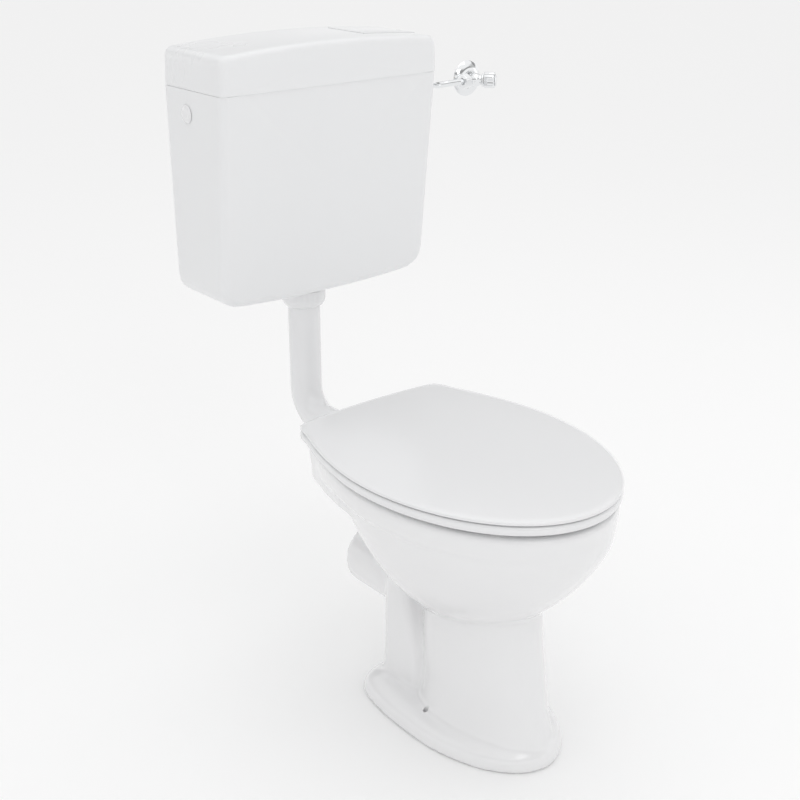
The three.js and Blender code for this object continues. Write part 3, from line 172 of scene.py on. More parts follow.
def handled_metal_group():
    """Metal: wipe smears in the gloss, hairline scratches, and a touch of tarnish."""
    group, given, result = node_group(
        "handled_metal",
        [("Metal Color", "NodeSocketColor", (0.8, 0.8, 0.8, 1)),
         ("Tarnish Color", "NodeSocketColor", (0.6, 0.6, 0.6, 1)),
         ("Smear Scale", "NodeSocketFloat", 40.0),
         ("Scratch Scale", "NodeSocketFloat", 1500.0),
         ("Low Roughness", "NodeSocketFloat", 0.04),
         ("High Roughness", "NodeSocketFloat", 0.12)],
        SURFACE)
    nodes, links = group.nodes, group.links
    place = nodes.new("ShaderNodeTexCoord").outputs["Object"]
    smear = noise(nodes, links, place, given.outputs["Smear Scale"], 5)
    tone = two_tones(nodes, links, smear, given.outputs["Metal Color"], given.outputs["Tarnish Color"])
    links.new(tone, result.inputs["Color"])
    drawn = nodes.new("ShaderNodeMapping")
    drawn.inputs["Scale"].default_value = (1.0, 0.06, 1.0)
    links.new(place, drawn.inputs["Vector"])
    scratch = noise(nodes, links, drawn.outputs["Vector"], given.outputs["Scratch Scale"], 2)
    links.new(spread(nodes, links, smear, given.outputs["Low Roughness"], given.outputs["High Roughness"]),
              result.inputs["Roughness"])
    links.new(scratch, result.inputs["Height"])
    return group


def finish(name, group, values, bump, depth, **shader):
    """A material: one effect group with its own values, feeding a Principled shader in the material."""
    material = bpy.data.materials.new(name)
    material.use_nodes = True
    nodes, links = material.node_tree.nodes, material.node_tree.links
    principled = nodes["Principled BSDF"]
    effect = nodes.new("ShaderNodeGroup")
    effect.node_tree = group
    for label, value in values.items():
        effect.inputs[label].default_value = (*value, 1) if isinstance(value, tuple) else value
    links.new(effect.outputs["Color"], principled.inputs["Base Color"])
    links.new(effect.outputs["Roughness"], principled.inputs["Roughness"])
    relief = nodes.new("ShaderNodeBump")
    relief.inputs["Strength"].default_value = bump
    relief.inputs["Distance"].default_value = depth
    links.new(effect.outputs["Height"], relief.inputs["Height"])
    links.new(relief.outputs["Normal"], principled.inputs["Normal"])
    for label, value in shader.items():
        principled.inputs[label.replace("_", " ")].default_value = value
    return material


PEEL_DEPTH = 0.0015          # relief of the glaze, of moulded plastic and of metal, in metres
STIPPLE_DEPTH = 0.0002
SCRATCH_DEPTH = 0.0001

fired_glaze = fired_glaze_group()
moulded_skin = moulded_skin_group()
handled_metal = handled_metal_group()


def plastic(name, colour, flow, gloss, stipple=900.0, bump=0.05, **shader):
    values = {"Plastic Color": colour, "Flow Color": flow, "Stipple Scale": stipple,
              "Low Roughness": gloss[0], "High Roughness": gloss[1]}
    return finish(name, moulded_skin, values, bump, STIPPLE_DEPTH, **shader)


def metal(name, colour, tarnish, gloss, bump=0.03):
    values = {"Metal Color": colour, "Tarnish Color": tarnish,
              "Low Roughness": gloss[0], "High Roughness": gloss[1]}
    return finish(name, handled_metal, values, bump, SCRATCH_DEPTH, Metallic=1.0)


FINISHES = {
    "china": finish("white_glazed_china", fired_glaze,
                    {"Glaze Color": (0.862, 0.862, 0.868), "Pooled Color": (0.82, 0.82, 0.827)},
                    0.04, PEEL_DEPTH, Coat_Weight=0.6, Coat_Roughness=0.03),
    "seat_plastic": plastic("white_seat_plastic", (0.835, 0.836, 0.844), (0.81, 0.812, 0.82), (0.2, 0.27),
                            Coat_Weight=0.25, Coat_Roughness=0.12),
    "tank_plastic": plastic("white_cistern_plastic", (0.84, 0.845, 0.852), (0.815, 0.82, 0.828),
                            (0.26, 0.34)),
    "inner_plastic": plastic("grey_white_moulding", (0.68, 0.7, 0.71), (0.62, 0.64, 0.65),
                             (0.4, 0.5), 500.0, 0.12),
    "blue_plastic": plastic("blue_grey_moulding", (0.2, 0.31, 0.44), (0.17, 0.27, 0.39),
                            (0.4, 0.5), 500.0, 0.12),
    "chrome": metal("polished_chrome", (0.86, 0.87, 0.88), (0.78, 0.79, 0.8), (0.03, 0.09)),
    "brass": metal("machined_brass", (0.78, 0.6, 0.27), (0.6, 0.44, 0.18), (0.2, 0.35), 0.1),
    "steel": metal("zinc_plated_steel", (0.62, 0.63, 0.65), (0.5, 0.51, 0.52), (0.3, 0.45), 0.12),
    "black_rubber": plastic("black_rubber", (0.025, 0.025, 0.026), (0.035, 0.035, 0.035),
                            (0.6, 0.75), 400.0, 0.2),
    "white_rubber": plastic("white_rubber", (0.72, 0.71, 0.68), (0.66, 0.65, 0.62),
                            (0.5, 0.62), 400.0, 0.15),
}
SLOTS = {part["node"]: part["material_slot"] for part in frame["record"]["subparts"]}
BODIES = {node: body for body, nodes in frame["record"]["behaviour"]["bodies"].items() for node in nodes}


# ------------------------------------------------------------------ making pieces
def as_object(bm, name):
    mesh = bpy.data.meshes.new(name)
    bm.to_mesh(mesh)
    bm.free()
    obj = bpy.data.objects.new(name, mesh)
    bpy.context.scene.collection.objects.link(obj)
    return obj


def settle(obj):
    """Applies the modifiers of an object to its mesh."""
    graph = bpy.context.evaluated_depsgraph_get()
    mesh = bpy.data.meshes.new_from_object(obj.evaluated_get(graph))
    rough = obj.data
    obj.modifiers.clear()
    obj.data = mesh
    bpy.data.meshes.remove(rough)


def discard(obj):
    mesh = obj.data
    bpy.data.objects.remove(obj)
    bpy.data.meshes.remove(mesh)


def boolean(obj, tool, operation):
    change = obj.modifiers.new("boolean", "BOOLEAN")
    change.operation = operation
    change.solver = "EXACT"
    change.object = tool


def carve(obj, *tools):
    """Cuts tools away from obj."""
    for tool in tools:
        boolean(obj, tool, "DIFFERENCE")
    settle(obj)
    for tool in tools:
        discard(tool)


def weld(obj, *tools):
    """Joins tools to obj, one after another."""
    for tool in tools:
        boolean(obj, tool, "UNION")
        settle(obj)
        discard(tool)


def fuse(name, shells, voxel):
    """Joins closed shells that overlap into one skin of even faces."""
    whole = bmesh.new()
    for shell in shells:
        mesh = bpy.data.meshes.new("shell")
        shell.to_mesh(mesh)
        shell.free()
        whole.from_mesh(mesh)
        bpy.data.meshes.remove(mesh)
    return reskin(as_object(whole, name), voxel)


def reskin(obj, voxel):
    """Lays an even skin over a solid."""
    even = obj.modifiers.new("even", "REMESH")
    even.mode = "VOXEL"
    even.voxel_size = voxel
    settle(obj)
    return obj


def soften(obj, rounds):
    """Softens corners by drawing each vertex towards its neighbours."""
    bm = bmesh.new()
    bm.from_mesh(obj.data)
    for _ in range(rounds):
        bmesh.ops.smooth_vert(bm, verts=bm.verts, factor=0.5,
                              use_axis_x=True, use_axis_y=True, use_axis_z=True)
    bm.to_mesh(obj.data)
    bm.free()


def finished(obj, node, *others, crease=38):
    """Gives a finished piece its material, and lets it ride for one CAD node or several."""
    obj.data.materials.clear()
    obj.data.materials.append(FINISHES[SLOTS[node]])
    for face in obj.data.polygons:
        face.use_smooth = True
    obj.data.set_sharp_from_angle(angle=math.radians(crease))
    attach(obj, BODIES[node])
    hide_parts(node, *others)


def skin(rings, ends="closed"):
    """Lofts one ring of points from place to place: closed ends, or last ring joined to first."""
    bm = bmesh.new()
    loop = bmesh.ops.create_circle(bm, segments=len(rings[0]), radius=1.0)["verts"]
    for vert, spot in zip(loop, rings[0]):
        vert.co = spot
    start = bm.edges[:]
    edges = start
    for ring in rings[1:]:
        grown = bmesh.ops.extrude_edge_only(bm, edges=edges)["geom"]
        fresh = {item for item in grown if isinstance(item, bmesh.types.BMVert)}
        loop = [next(e.other_vert(v) for e in v.link_edges if e.other_vert(v) in fresh) for v in loop]
        for vert, spot in zip(loop, ring):
            vert.co = spot
        edges = [e for e in grown if isinstance(e, bmesh.types.BMEdge) and set(e.verts) <= fresh]
    if ends == "closed":
        bmesh.ops.edgeloop_fill(bm, edges=start)
        bmesh.ops.edgeloop_fill(bm, edges=edges)
    else:
        bmesh.ops.bridge_loops(bm, edges=start + edges)
    bmesh.ops.recalc_face_normals(bm, faces=bm.faces)
    return bm


def bar(x, y, z):
    """A plain rectangular bar between three pairs of coordinates, used as a cutting tool."""
    bm = bmesh.new()
    bmesh.ops.create_cube(bm, size=1.0)
    size = Vector((x[1] - x[0], y[1] - y[0], z[1] - z[0]))
    middle = Vector((x[0] + x[1], y[0] + y[1], z[0] + z[1])) / 2
    bmesh.ops.scale(bm, vec=size, verts=bm.verts)
    bmesh.ops.translate(bm, vec=middle, verts=bm.verts)
    return bm


def eased(profile, radius, steps=4, closed=False):
    """Rounds the corners of a profile of (radius, height) points."""
    points = [Vector(p) for p in profile]
    count = len(points)
    soft = []
    for i, point in enumerate(points):
        if not closed and i in (0, count - 1):
            soft.append(point)
            continue
        before = points[i - 1] - point
        after = points[(i + 1) % count] - point
        reach = min(radius, 0.45 * before.length, 0.45 * after.length)
        a = point + before.normalized() * reach
        b = point + after.normalized() * reach
        for step in range(steps + 1):
            t = step / steps
            soft.append(a * (1 - t) ** 2 + point * 2 * t * (1 - t) + b * t ** 2)
    return soft


AIM = {
    "x": Matrix.Rotation(math.radians(90), 4, "Y"),
    "y": Matrix.Rotation(math.radians(-90), 4, "X"),
    "z": Matrix.Identity(4),
}


def turned(profile, axis, at, closed=False, sides=ROUND_SIDES):
    """A round piece: (radius, distance along the axis) points spun about an axis through at."""
    bm = bmesh.new()
    verts = [bm.verts.new((r, 0, h)) for r, h in profile]
    pairs = list(zip(verts, verts[1:])) + ([(verts[-1], verts[0])] if closed else [])
    edges = [bm.edges.new(pair) for pair in pairs]
    bmesh.ops.spin(bm, geom=verts + edges, cent=(0, 0, 0), axis=(0, 0, 1), angle=2 * math.pi,
                   steps=sides, use_merge=True)
    bmesh.ops.remove_doubles(bm, verts=bm.verts, dist=1e-6)
    bmesh.ops.recalc_face_normals(bm, faces=bm.faces)
    turn = AIM[axis] if isinstance(axis, str) else axis
    bmesh.ops.transform(bm, matrix=Matrix.Translation(at) @ turn, verts=bm.verts)
    return bm


def tube(route, radius, bore, sides=40):
    """A tube along a route of points, or a solid rod where bore is 0."""
    last = len(route) - 1
    ways = [(route[min(i + 1, last)] - route[max(i - 1, 0)]).normalized() for i in range(len(route))]
    side = ways[0].orthogonal().normalized()
    frames = []
    for i, way in enumerate(ways):
        if i:
            side = ways[i - 1].rotation_difference(way) @ side
        side = (side - way * side.dot(way)).normalized()
        frames.append((side.copy(), way.cross(side)))
    turns = [2 * math.pi * k / sides for k in range(sides)]

    def ring(i, r):
        a, b = frames[i]
        return [route[i] + (a * math.cos(t) + b * math.sin(t)) * r for t in turns]
    outside = [ring(i, radius) for i in range(len(route))]
    if not bore:
        return skin(outside)
    inside = [ring(i, bore) for i in reversed(range(len(route)))]
    return skin(outside + inside, "joined")


def softened(node, edge=0.0005):
    """A copy of a small CAD piece with its sharp edges eased."""
    bm = bmesh.new()
    bm.from_mesh(frame["nodes"][node].data)
    bmesh.ops.remove_doubles(bm, verts=bm.verts, dist=0.00002)
    bmesh.ops.dissolve_limit(bm, angle_limit=math.radians(0.5), verts=bm.verts, edges=bm.edges)
    obj = as_object(bm, node + "_eased")
    soft = obj.modifiers.new("eased", "BEVEL")
    soft.width = edge
    soft.segments = 2
    soft.limit_method = "ANGLE"
    soft.angle_limit = math.radians(40)
    soft.use_clamp_overlap = True
    settle(obj)
    finished(obj, node, crease=50)


# ------------------------------------------------------------------ outlines
def bezier(*controls, steps=32):
    def at(points, t):
        while len(points) > 1:
            points = [a * (1 - t) + b * t for a, b in zip(points, points[1:])]
        return points[0]
    corners = [Vector(c) for c in controls]
    return [at(corners, k / steps) for k in range(steps + 1)]


def quarter(centre, half_x, half_y, start):
    """A quarter of an ellipse, counted anticlockwise from start degrees."""
    angles = [math.radians(start + 90 * k / 32) for k in range(33)]
    return [Vector((centre[0] + half_x * math.cos(a), centre[1] + half_y * math.sin(a))) for a in angles]


def evenly(points, count):
    """count + 1 points at even steps along a polyline."""
    steps = [(b - a).length for a, b in zip(points, points[1:])]
    total = sum(steps)
    spots = [points[0].copy()]
    gone = 0.0
    i = 0
    for k in range(1, count):
        target = total * k / count
        while gone + steps[i] < target:
            gone += steps[i]
            i += 1
        spots.append(points[i].lerp(points[i + 1], (target - gone) / steps[i]))
    spots.append(points[-1].copy())
    return spots


def both_sides(half, z):
    """A closed ring in metres from half an outline in millimetres, front middle to back middle."""
    right = evenly(half, PLAN_POINTS // 2)
    left = [Vector((-p.x, p.y)) for p in reversed(right[1:-1])]
    return [Vector((p.x, p.y, z)) * MM for p in right + left]


BACK_BOW = 8                 # how far the rear edge of the pan's and the seat's plans bows out
BACK_CORNER = 14


def seat_outline(plan, inset, z):
    """Seat-like plan: half ellipse in front, sides that draw in, rounded rear corners, bowed back."""
    h, s = plan["half"] - inset, plan["shoulder"] - inset
    f, b = plan["front"] + inset, plan["back"] - inset
    mid, bow, corner = plan["mid"], BACK_BOW, BACK_CORNER
    half = quarter((0, mid), h, mid - f, -90)
    half += bezier((h, mid), (h, mid + 60), (s + 22, b - bow - 84), (s, b - bow - 2 * corner))[1:]
    half += bezier((s, b - bow - 2 * corner), (s - 4, b - bow), (s - 4 - corner, b - bow + 1))[1:]
    half += bezier((s - 4 - corner, b - bow + 1), (s / 2, b), (0, b))[1:]
    return both_sides(half, z)


def egg_outline(half_width, front, back, z, mid=None):
    mid = (front + back) / 2 if mid is None else mid
    half = quarter((0, mid), half_width, mid - front, -90)
    half += quarter((0, mid), half_width, back - mid, 0)[1:]
    return both_sides(half, z)


def rounded_outline(half_width, front, back, corner, z):
    half = [Vector((0, front)), Vector((half_width - corner, front))]
    half += bezier((half_width - corner, front), (half_width, front), (half_width, front + corner))[1:]
    half += bezier((half_width, back - corner), (half_width, back), (half_width - corner, back))
    half += [Vector((0, back))]
    return both_sides(half, z)


def drawn_in(ring, share, z):
    """A ring shrunk towards its middle and lifted to a height in millimetres."""
    middle = sum(ring, Vector()) / len(ring)
    return [Vector((middle.x + (p.x - middle.x) * share, middle.y + (p.y - middle.y) * share, z * MM))
            for p in ring]


# ------------------------------------------------------------------ sizes, millimetres
RIM_Z = 402
RIM_BAND = 34
DECK_THICK = 62
RIM = {"half": 171, "front": -232, "mid": 19, "shoulder": 129, "back": 227}
DECK = {"half": 154, "front": -219, "mid": 12, "shoulder": 128, "back": 226}
FOOT = {"half": 104, "front": -174, "mid": 5, "back": 158}
BOWL_TOP = 361
BOWL_BOTTOM = 169
BOWL_MID = 12
BOWL = {"half": 162, "front": 243, "back": 184}         # reaches from the middle, at the widest
PLINTH = 34
COLUMN = {"half": 66, "front": -163, "back": 70, "mid": -25, "bottom": 20, "tall": 216, "lean": 34}
LEG = {"half": 57, "back": 129, "corner": 18}
PANEL = {"front": -10, "back": 110, "corner": 6}
CHINA = 13                   # thickness of the china walls
OUTLET = (0, 0, 0.180)       # metres, on the axes of the outlet and of the flush inlet
HORN = (0, 0, 0.361)
SEAT = {"half": 178, "front": -234, "mid": 19, "shoulder": 138, "back": 235}
SEAT_BOTTOM = low("seat_ring", "z") / MM
SEAT_TOP = high("seat_ring", "z") / MM
LID_TOP = high("seat_lid", "z") / MM
LID_BOTTOM = SEAT_TOP + 1.3
HINGE_X = 77.5
HINGE_Y = 222
HINGE_Z = LID_BOTTOM - 8.8
POST = (68, 87)
LUGS = [(54.8, 60.8), (94.2, 100.2)]
HINGE = (0, HINGE_Y * MM, HINGE_Z * MM)


# ------------------------------------------------------------------ pan
def bowl_ring(z):
    """The bowl's outside at a height: full at the top, closing fast at the bottom."""
    down = max(0.0, BOWL_TOP - z) / (BOWL_TOP - BOWL_BOTTOM)
    size = max(0.02, 1 - down ** 1.3) ** (1 / 1.85)
    return egg_outline(BOWL["half"] * size, BOWL_MID - BOWL["front"] * size, BOWL_MID + BOWL["back"] * size,
                       z, BOWL_MID)


def bowl_outside():
    levels = [172 + 198 * (k / 24) ** 1.4 for k in range(25)]
    return skin([bowl_ring(z) for z in levels])


def rim_band():
    under = RIM_Z - RIM_BAND
    steps = [(4.5, under), (2.2, under + 2), (1.2, under + 5), (0, RIM_Z - 10), (0, RIM_Z - 6),
             (1, RIM_Z - 3), (3, RIM_Z - 1), (6, RIM_Z)]
    return skin([seat_outline(RIM, inset, z) for inset, z in steps])


def deck():
    under = RIM_Z - DECK_THICK
    steps = [(14, under), (7, under + 2), (3, under + 6), (1, under + 11), (1, RIM_Z - 20)]
    return skin([seat_outline(DECK, inset, z) for inset, z in steps])


def foot_outline(inset, z):
    """The foot's plan: a long round nose, straight flanks and soft rear corners."""
    h, f, b = FOOT["half"] - inset, FOOT["front"] + inset, FOOT["back"] - inset
    turn = 122 - inset / 2
    half = quarter((0, FOOT["mid"]), h, FOOT["mid"] - f, -90)
    half += bezier((h, FOOT["mid"]), (h, 60), (h - 4, 96), (h - 12, turn))[1:]
    half += bezier((h - 12, turn), (h - 18, b - 8), (h - 48, b - 3))[1:]
    half += bezier((h - 48, b - 3), ((h - 48) / 2, b), (0, b))[1:]
    return both_sides(half, z)


def foot(shrink=0):
    """The plinth; with a shrink, the hollow inside it, which is open below."""
    base = -6 if shrink else 0
    steps = [(2, base), (0.5, 2), (0, 6), (0.5, 14), (2, 20), (5, 25), (11, 29), (19, 32), (27, PLINTH)]
    return skin([foot_outline(inset + shrink, z - shrink / 2 * (z > 20)) for inset, z in steps])


def column(shrink=0):
    """The front column, flared to the plinth below and a little to the bowl above."""
    def level(rise):
        flare = 16 * (1 - rise / 0.3) ** 2 if rise < 0.3 else 3 * max(0.0, (rise - 0.65) / 0.35) ** 2
        front = COLUMN["front"] + COLUMN["lean"] * rise - flare * 0.3 + shrink
        return egg_outline(COLUMN["half"] + flare - shrink, front, COLUMN["back"] - shrink,
                           COLUMN["bottom"] + (COLUMN["tall"] - shrink / 2) * rise, COLUMN["mid"])
    return skin([level(k / 20) for k in range(21)])


def leg(shrink=0):
    """The rear leg under the outlet: height, front and bulge at the back of each level."""
    steps = [(12, 38, 16), (30, 40, 7), (55, 42, 3), (80, 44, 1), (110, 48, 0), (150, 62, 0),
             (190, 74, -4), (222 - shrink, 84, -8)]
    return skin([rounded_outline(LEG["half"] - shrink, front + shrink, LEG["back"] + bulge - shrink,
                                 LEG["corner"], z) for z, front, bulge in steps])


def panel(shrink=0):
    """The pinched wall between the column and the leg, thinner towards the bowl."""
    steps = [(12 + shrink / 4, 54), (60, 50), (85, 45.5), (110, 40), (150, 35.5), (218 - shrink, 30)]
    return skin([rounded_outline(half - shrink, PANEL["front"], PANEL["back"], PANEL["corner"], z)
                 for z, half in steps])


# The water way from the sump, under the trap and up to the outlet.
TRAP = [(0, 8, 120), (0, 20, 75), (0, 52, 56), (0, 84, 82), (0, 92, 130), (0, 118, 172), (0, 160, 180)]


def smooth_route(points, steps=8):
    """A route that passes through points, in metres."""
    knots = [Vector(p) * MM for p in points]
    knots = [knots[0] * 2 - knots[1]] + knots + [knots[-1] * 2 - knots[-2]]
    route = []
    for a, b, c, d in zip(knots, knots[1:], knots[2:], knots[3:]):
        for k in range(steps):
            t = k / steps
            route.append(0.5 * (2 * b + (c - a) * t + (2 * a - 5 * b + 4 * c - d) * t ** 2
                                + (3 * b - 3 * c + d - a) * t ** 3))
    return route + [knots[-2]]


def rod(axis, radius, start, end, at, sides=ROUND_SIDES):
    """A plain round bar in metres along an axis, used to cut and to join."""
    return turned([(0, start), (radius, start), (radius, end), (0, end)], axis, at, sides=sides)


def bowl_inside(grow=0):
    """The room inside the bowl: height, half width, front and back of each level."""
    levels = [
        (66, 26, -10, 42), (82, 30, -15, 43), (100, 34, -22, 44), (125, 38, -28, 46),
        (150, 42, -34, 48), (175, 50, -54, 57), (200, 60, -78, 68), (225, 77, -108, 88),
        (250, 96, -138, 108), (275, 113, -162, 125), (300, 126, -182, 138), (325, 136, -197, 146),
        (RIM_Z - 50, 142, -208, 148), (RIM_Z - 32, 139, -203, 129), (RIM_Z - 27, 124, -188, 114),
        (RIM_Z - 14, 122, -186, 112), (RIM_Z - 4, 123, -187, 113), (RIM_Z + 2, 128, -192, 118),
    ]
    return skin([egg_outline(half + grow, front - grow, back + grow, z - grow * (z < 70))
                 for z, half, front, back in levels])


# Metres from here to the end of the pan. Pipes: outer radius, bore radius and end along Y.
OUTLET_PIPE = {"radius": 0.051, "bore": 0.043, "end": 0.226}
HORN_PIPE = {"radius": 0.0275, "bore": 0.020, "end": 0.248}
TRAP_PIPE = {"radius": 0.039, "bore": 0.030}
FINE_SKIN, COARSE_SKIN, LAST_SKIN = 0.004, 0.005, 0.0036
SEAT_BOLT = {"radius": 0.0065, "y": 0.203}
FLOOR_SCREW = {"radius": 0.0045, "x": 0.075, "y": 0.003}


def china_pan():
    radius, bore, end = OUTLET_PIPE["radius"], OUTLET_PIPE["bore"], OUTLET_PIPE["end"]
    outlet_pipe = turned(eased([(0, 0.092), (radius, 0.092), (radius, end), (bore, end), (bore, 0.19),
                                (0, 0.19)], 0.003), "y", OUTLET)
    horn_pipe = rod("y", HORN_PIPE["radius"], 0.187, HORN_PIPE["end"], HORN)
    pan = fuse("china_pan", [bowl_outside(), rim_band(), deck(), foot(), column(), leg(), panel(),
                             outlet_pipe, horn_pipe], FINE_SKIN)

    # The foot is hollow below, but for the walls of the bowl, the trap and the outlet, and a web.
    room = fuse("foot_room", [foot(CHINA), column(CHINA), leg(CHINA), panel(CHINA)], COARSE_SKIN)
    web = bar((-0.12, 0.12), (-0.014, 0.014), (-0.01, 0.016))
    walls = fuse("inner_walls", [bowl_inside(CHINA), tube(smooth_route(TRAP), TRAP_PIPE["radius"], 0),
                                 rod("y", 0.056, 0.07, end, OUTLET), bowl_outside(), web], COARSE_SKIN)
    carve(room, walls)
    hollow = fuse("water_way", [bowl_inside(), tube(smooth_route(TRAP), TRAP_PIPE["bore"], 0),
                                rod("y", bore, 0.132, 0.24, OUTLET),
                                rod("y", HORN_PIPE["bore"], 0.129, 0.26, HORN)], FINE_SKIN)
    carve(pan, room, hollow)
    reskin(pan, LAST_SKIN)
    soften(pan, 2)
    holes = [rod("z", SEAT_BOLT["radius"], 0.32, 0.42, (side * HINGE_X * MM, SEAT_BOLT["y"], 0), 32)
             for side in (-1, 1)]
    holes += [rod("z", FLOOR_SCREW["radius"], -0.01, 0.06, (side * FLOOR_SCREW["x"], FLOOR_SCREW["y"], 0), 32)
              for side in (-1, 1)]
    carve(pan, *[as_object(hole, "hole") for hole in holes])
    finished(pan, "pan", crease=60)


china_pan()


# ------------------------------------------------------------------ seat and lid
LUG_GAP = 0.6                # millimetres on each side of a post or a lug
CUT_BACK = 0.26              # metres; the cuts at the seat's rear end behind it, above and below it
CUT_Z = (0.39, 0.43)
LUG_RADIUS = 0.0072
PIN_BORE = 0.0044


def sided(side, span):
    """A span in millimetres as a span in metres, mirrored for the left side."""
    return (span[0] * MM, span[1] * MM) if side > 0 else (-span[1] * MM, -span[0] * MM)


def seat_hole(grow, z):
    return egg_outline(112 + grow, -166 - grow, 118 + grow, z)


def seat_ring():
    outside = [(5, SEAT_BOTTOM), (2, SEAT_BOTTOM + 0.7), (0.6, SEAT_BOTTOM + 2.4), (0, SEAT_BOTTOM + 6),
               (0, SEAT_TOP - 6.5), (0.5, SEAT_TOP - 4), (1.6, SEAT_TOP - 2), (3.6, SEAT_TOP - 0.7),
               (7, SEAT_TOP)]
    inside = [(13, SEAT_TOP), (8, SEAT_TOP - 0.8), (4.5, SEAT_TOP - 2.4), (1.8, SEAT_TOP - 5),
              (0.3, SEAT_TOP - 9), (0.3, SEAT_BOTTOM + 4), (1.2, SEAT_BOTTOM + 1.4), (4, SEAT_BOTTOM)]
    rings = [seat_outline(SEAT, inset, z) for inset, z in outside]
    rings += [seat_hole(grow, z) for grow, z in inside]
    ring = as_object(skin(rings, "joined"), "moulded_seat")
    nose = as_object(rod("x", (LID_BOTTOM - HINGE_Z - 0.6) * MM, -0.2, 0.2, HINGE), "nose")
    behind = as_object(bar((-0.18, 0.18), (HINGE_Y * MM, CUT_BACK), CUT_Z), "behind")
    carve(behind, nose)
    slots = []
    for side in (-1, 1):
        wide = [(a - LUG_GAP, b + LUG_GAP) for a, b in [POST] + LUGS]
        fronts = [0.186, 0.2118, 0.2118]
        slots += [bar(sided(side, span), (front, CUT_BACK), CUT_Z) for span, front in zip(wide, fronts)]
    carve(ring, behind, *[as_object(slot, "slot") for slot in slots])
    finished(ring, "seat_ring", crease=42)


def seat_lid():
    """A thin cover, hollow below: rings from under its roof, down inside, and back over the top."""
    roof = LID_TOP - 3.2
    under = seat_outline(SEAT, 5, roof)
    rings = [drawn_in(under, share, roof) for share in (0.05, 0.3, 0.6, 0.9)]
    rings += [under, seat_outline(SEAT, 3.2, roof - 1), seat_outline(SEAT, 3.2, LID_BOTTOM + 0.8),
              seat_outline(SEAT, 2.8, LID_BOTTOM)]
    rim = [(1.4, LID_BOTTOM), (0.4, LID_BOTTOM + 0.6), (0, LID_BOTTOM + 1.6), (0.1, LID_TOP - 3.8),
           (0.7, LID_TOP - 2.6), (1.9, LID_TOP - 1.6), (4.2, LID_TOP - 0.9), (8, LID_TOP - 0.55)]
    rings += [seat_outline(SEAT, inset, z) for inset, z in rim]
    edge = seat_outline(SEAT, 12, LID_TOP)
    rings += [drawn_in(edge, share, LID_TOP - 0.45 * share ** 4) for share in (1, 0.85, 0.6, 0.35, 0.1)]
    lid = as_object(skin(rings), "moulded_lid")
    lugs = []
    for side in (-1, 1):
        for span in LUGS:
            x = sided(side, span)
            lugs.append(rod("x", LUG_RADIUS, x[0], x[1], HINGE, 40))
            lugs.append(bar(x, (0.2148, 0.2292), (HINGE_Z * MM, (LID_TOP - 2.6) * MM)))
    weld(lid, *[as_object(lug, "lug") for lug in lugs])
    bore = rod("x", PIN_BORE, -0.11, 0.11, HINGE, 32)
    carve(lid, as_object(bore, "bore"))
    finished(lid, "seat_lid", crease=42)


seat_ring()
seat_lid()


# ------------------------------------------------------------------ cistern
WALL = 440
TANK_TOP = 890
TANK_DROP = 304
TANK_BOW = 8
TANK_HALF = 189
TANK_TAPER = 2.5
TANK_CORNER = 32
TANK_DEPTH = 145
TANK_LEAN = 30
TANK_MIDDLE = 0.745          # metres; heights of the middles of the two fronts
COVER_MIDDLE = 0.92
FLUSH_Y = 0.389              # the flush pipe's axis under the cistern
INLET = (0, 0.386, 0.857)    # on the axis through the two side holes
WALL_SCREW = {"radius": 0.005, "x": 0.12, "z": 0.85}
ACROSS = (-0.3, 0.3)         # spans wider and deeper than the cistern, for cuts
THROUGH = (0.2, 0.5)


def tank_front(inset, top):
    """Half of the cistern's front view from the top middle to the bottom middle."""
    bottom = TANK_TOP - TANK_DROP
    wide, narrow = TANK_HALF - inset, TANK_HALF - TANK_TAPER - inset
    r = TANK_CORNER - inset
    lower = bottom + inset - TANK_BOW * 0.3
    lowest = bottom + inset - TANK_BOW
    half = [Vector((0, top)), Vector((wide, top))]
    half += bezier((narrow, bottom + TANK_CORNER), (narrow, bottom + inset + r * 0.12), (narrow - r, lower))
    half += bezier((narrow - r, lower), (narrow / 2, lowest), (0, lowest))[1:]
    return half


def upright_ring(half, y_at):
    """A ring that stands up in the XZ plane; y_at gives the depth at a height."""
    right = evenly(half, PLAN_POINTS // 2)
    left = [Vector((-p.x, p.y)) for p in reversed(right[1:-1])]
    return [Vector((p.x, y_at(p.y), p.y)) * MM for p in right + left]


def tank_face(z):
    """How far forward the leaning front of the cistern stands at a height."""
    down = max(0.0, TANK_TOP - z) / (TANK_DROP + TANK_BOW)
    return WALL - TANK_DEPTH + TANK_LEAN * down


def round_edge(edge, steps=6):
    """How far a front is drawn in and set back, step by step round its edge."""
    turns = [math.radians(90 * k / steps) for k in range(steps + 1)]
    return [(edge * (1 - math.sin(turn)), edge * (1 - math.cos(turn))) for turn in turns]


CAP = 0.1                    # share of a front that its innermost ring keeps


def tank_solid(inset, top, back, edge):
    """The cistern's shape from the middle of its front, round the edge, to the back."""
    rings = [upright_ring(tank_front(inset + pull, top), lambda z, s=set_back + inset: tank_face(z) + s)
             for pull, set_back in round_edge(edge)]
    middle = upright_ring(tank_front(inset + edge, top), lambda z: tank_face(z) + inset)
    centre = Vector((0, 0, TANK_MIDDLE))
    cap = [Vector((p.x * CAP, tank_face(centre.z / MM + (p.z - centre.z) / MM * CAP) * MM + inset * MM,
                   centre.z + (p.z - centre.z) * CAP)) for p in middle]
    return skin([cap] + rings + [upright_ring(tank_front(inset, top), lambda z: back)])


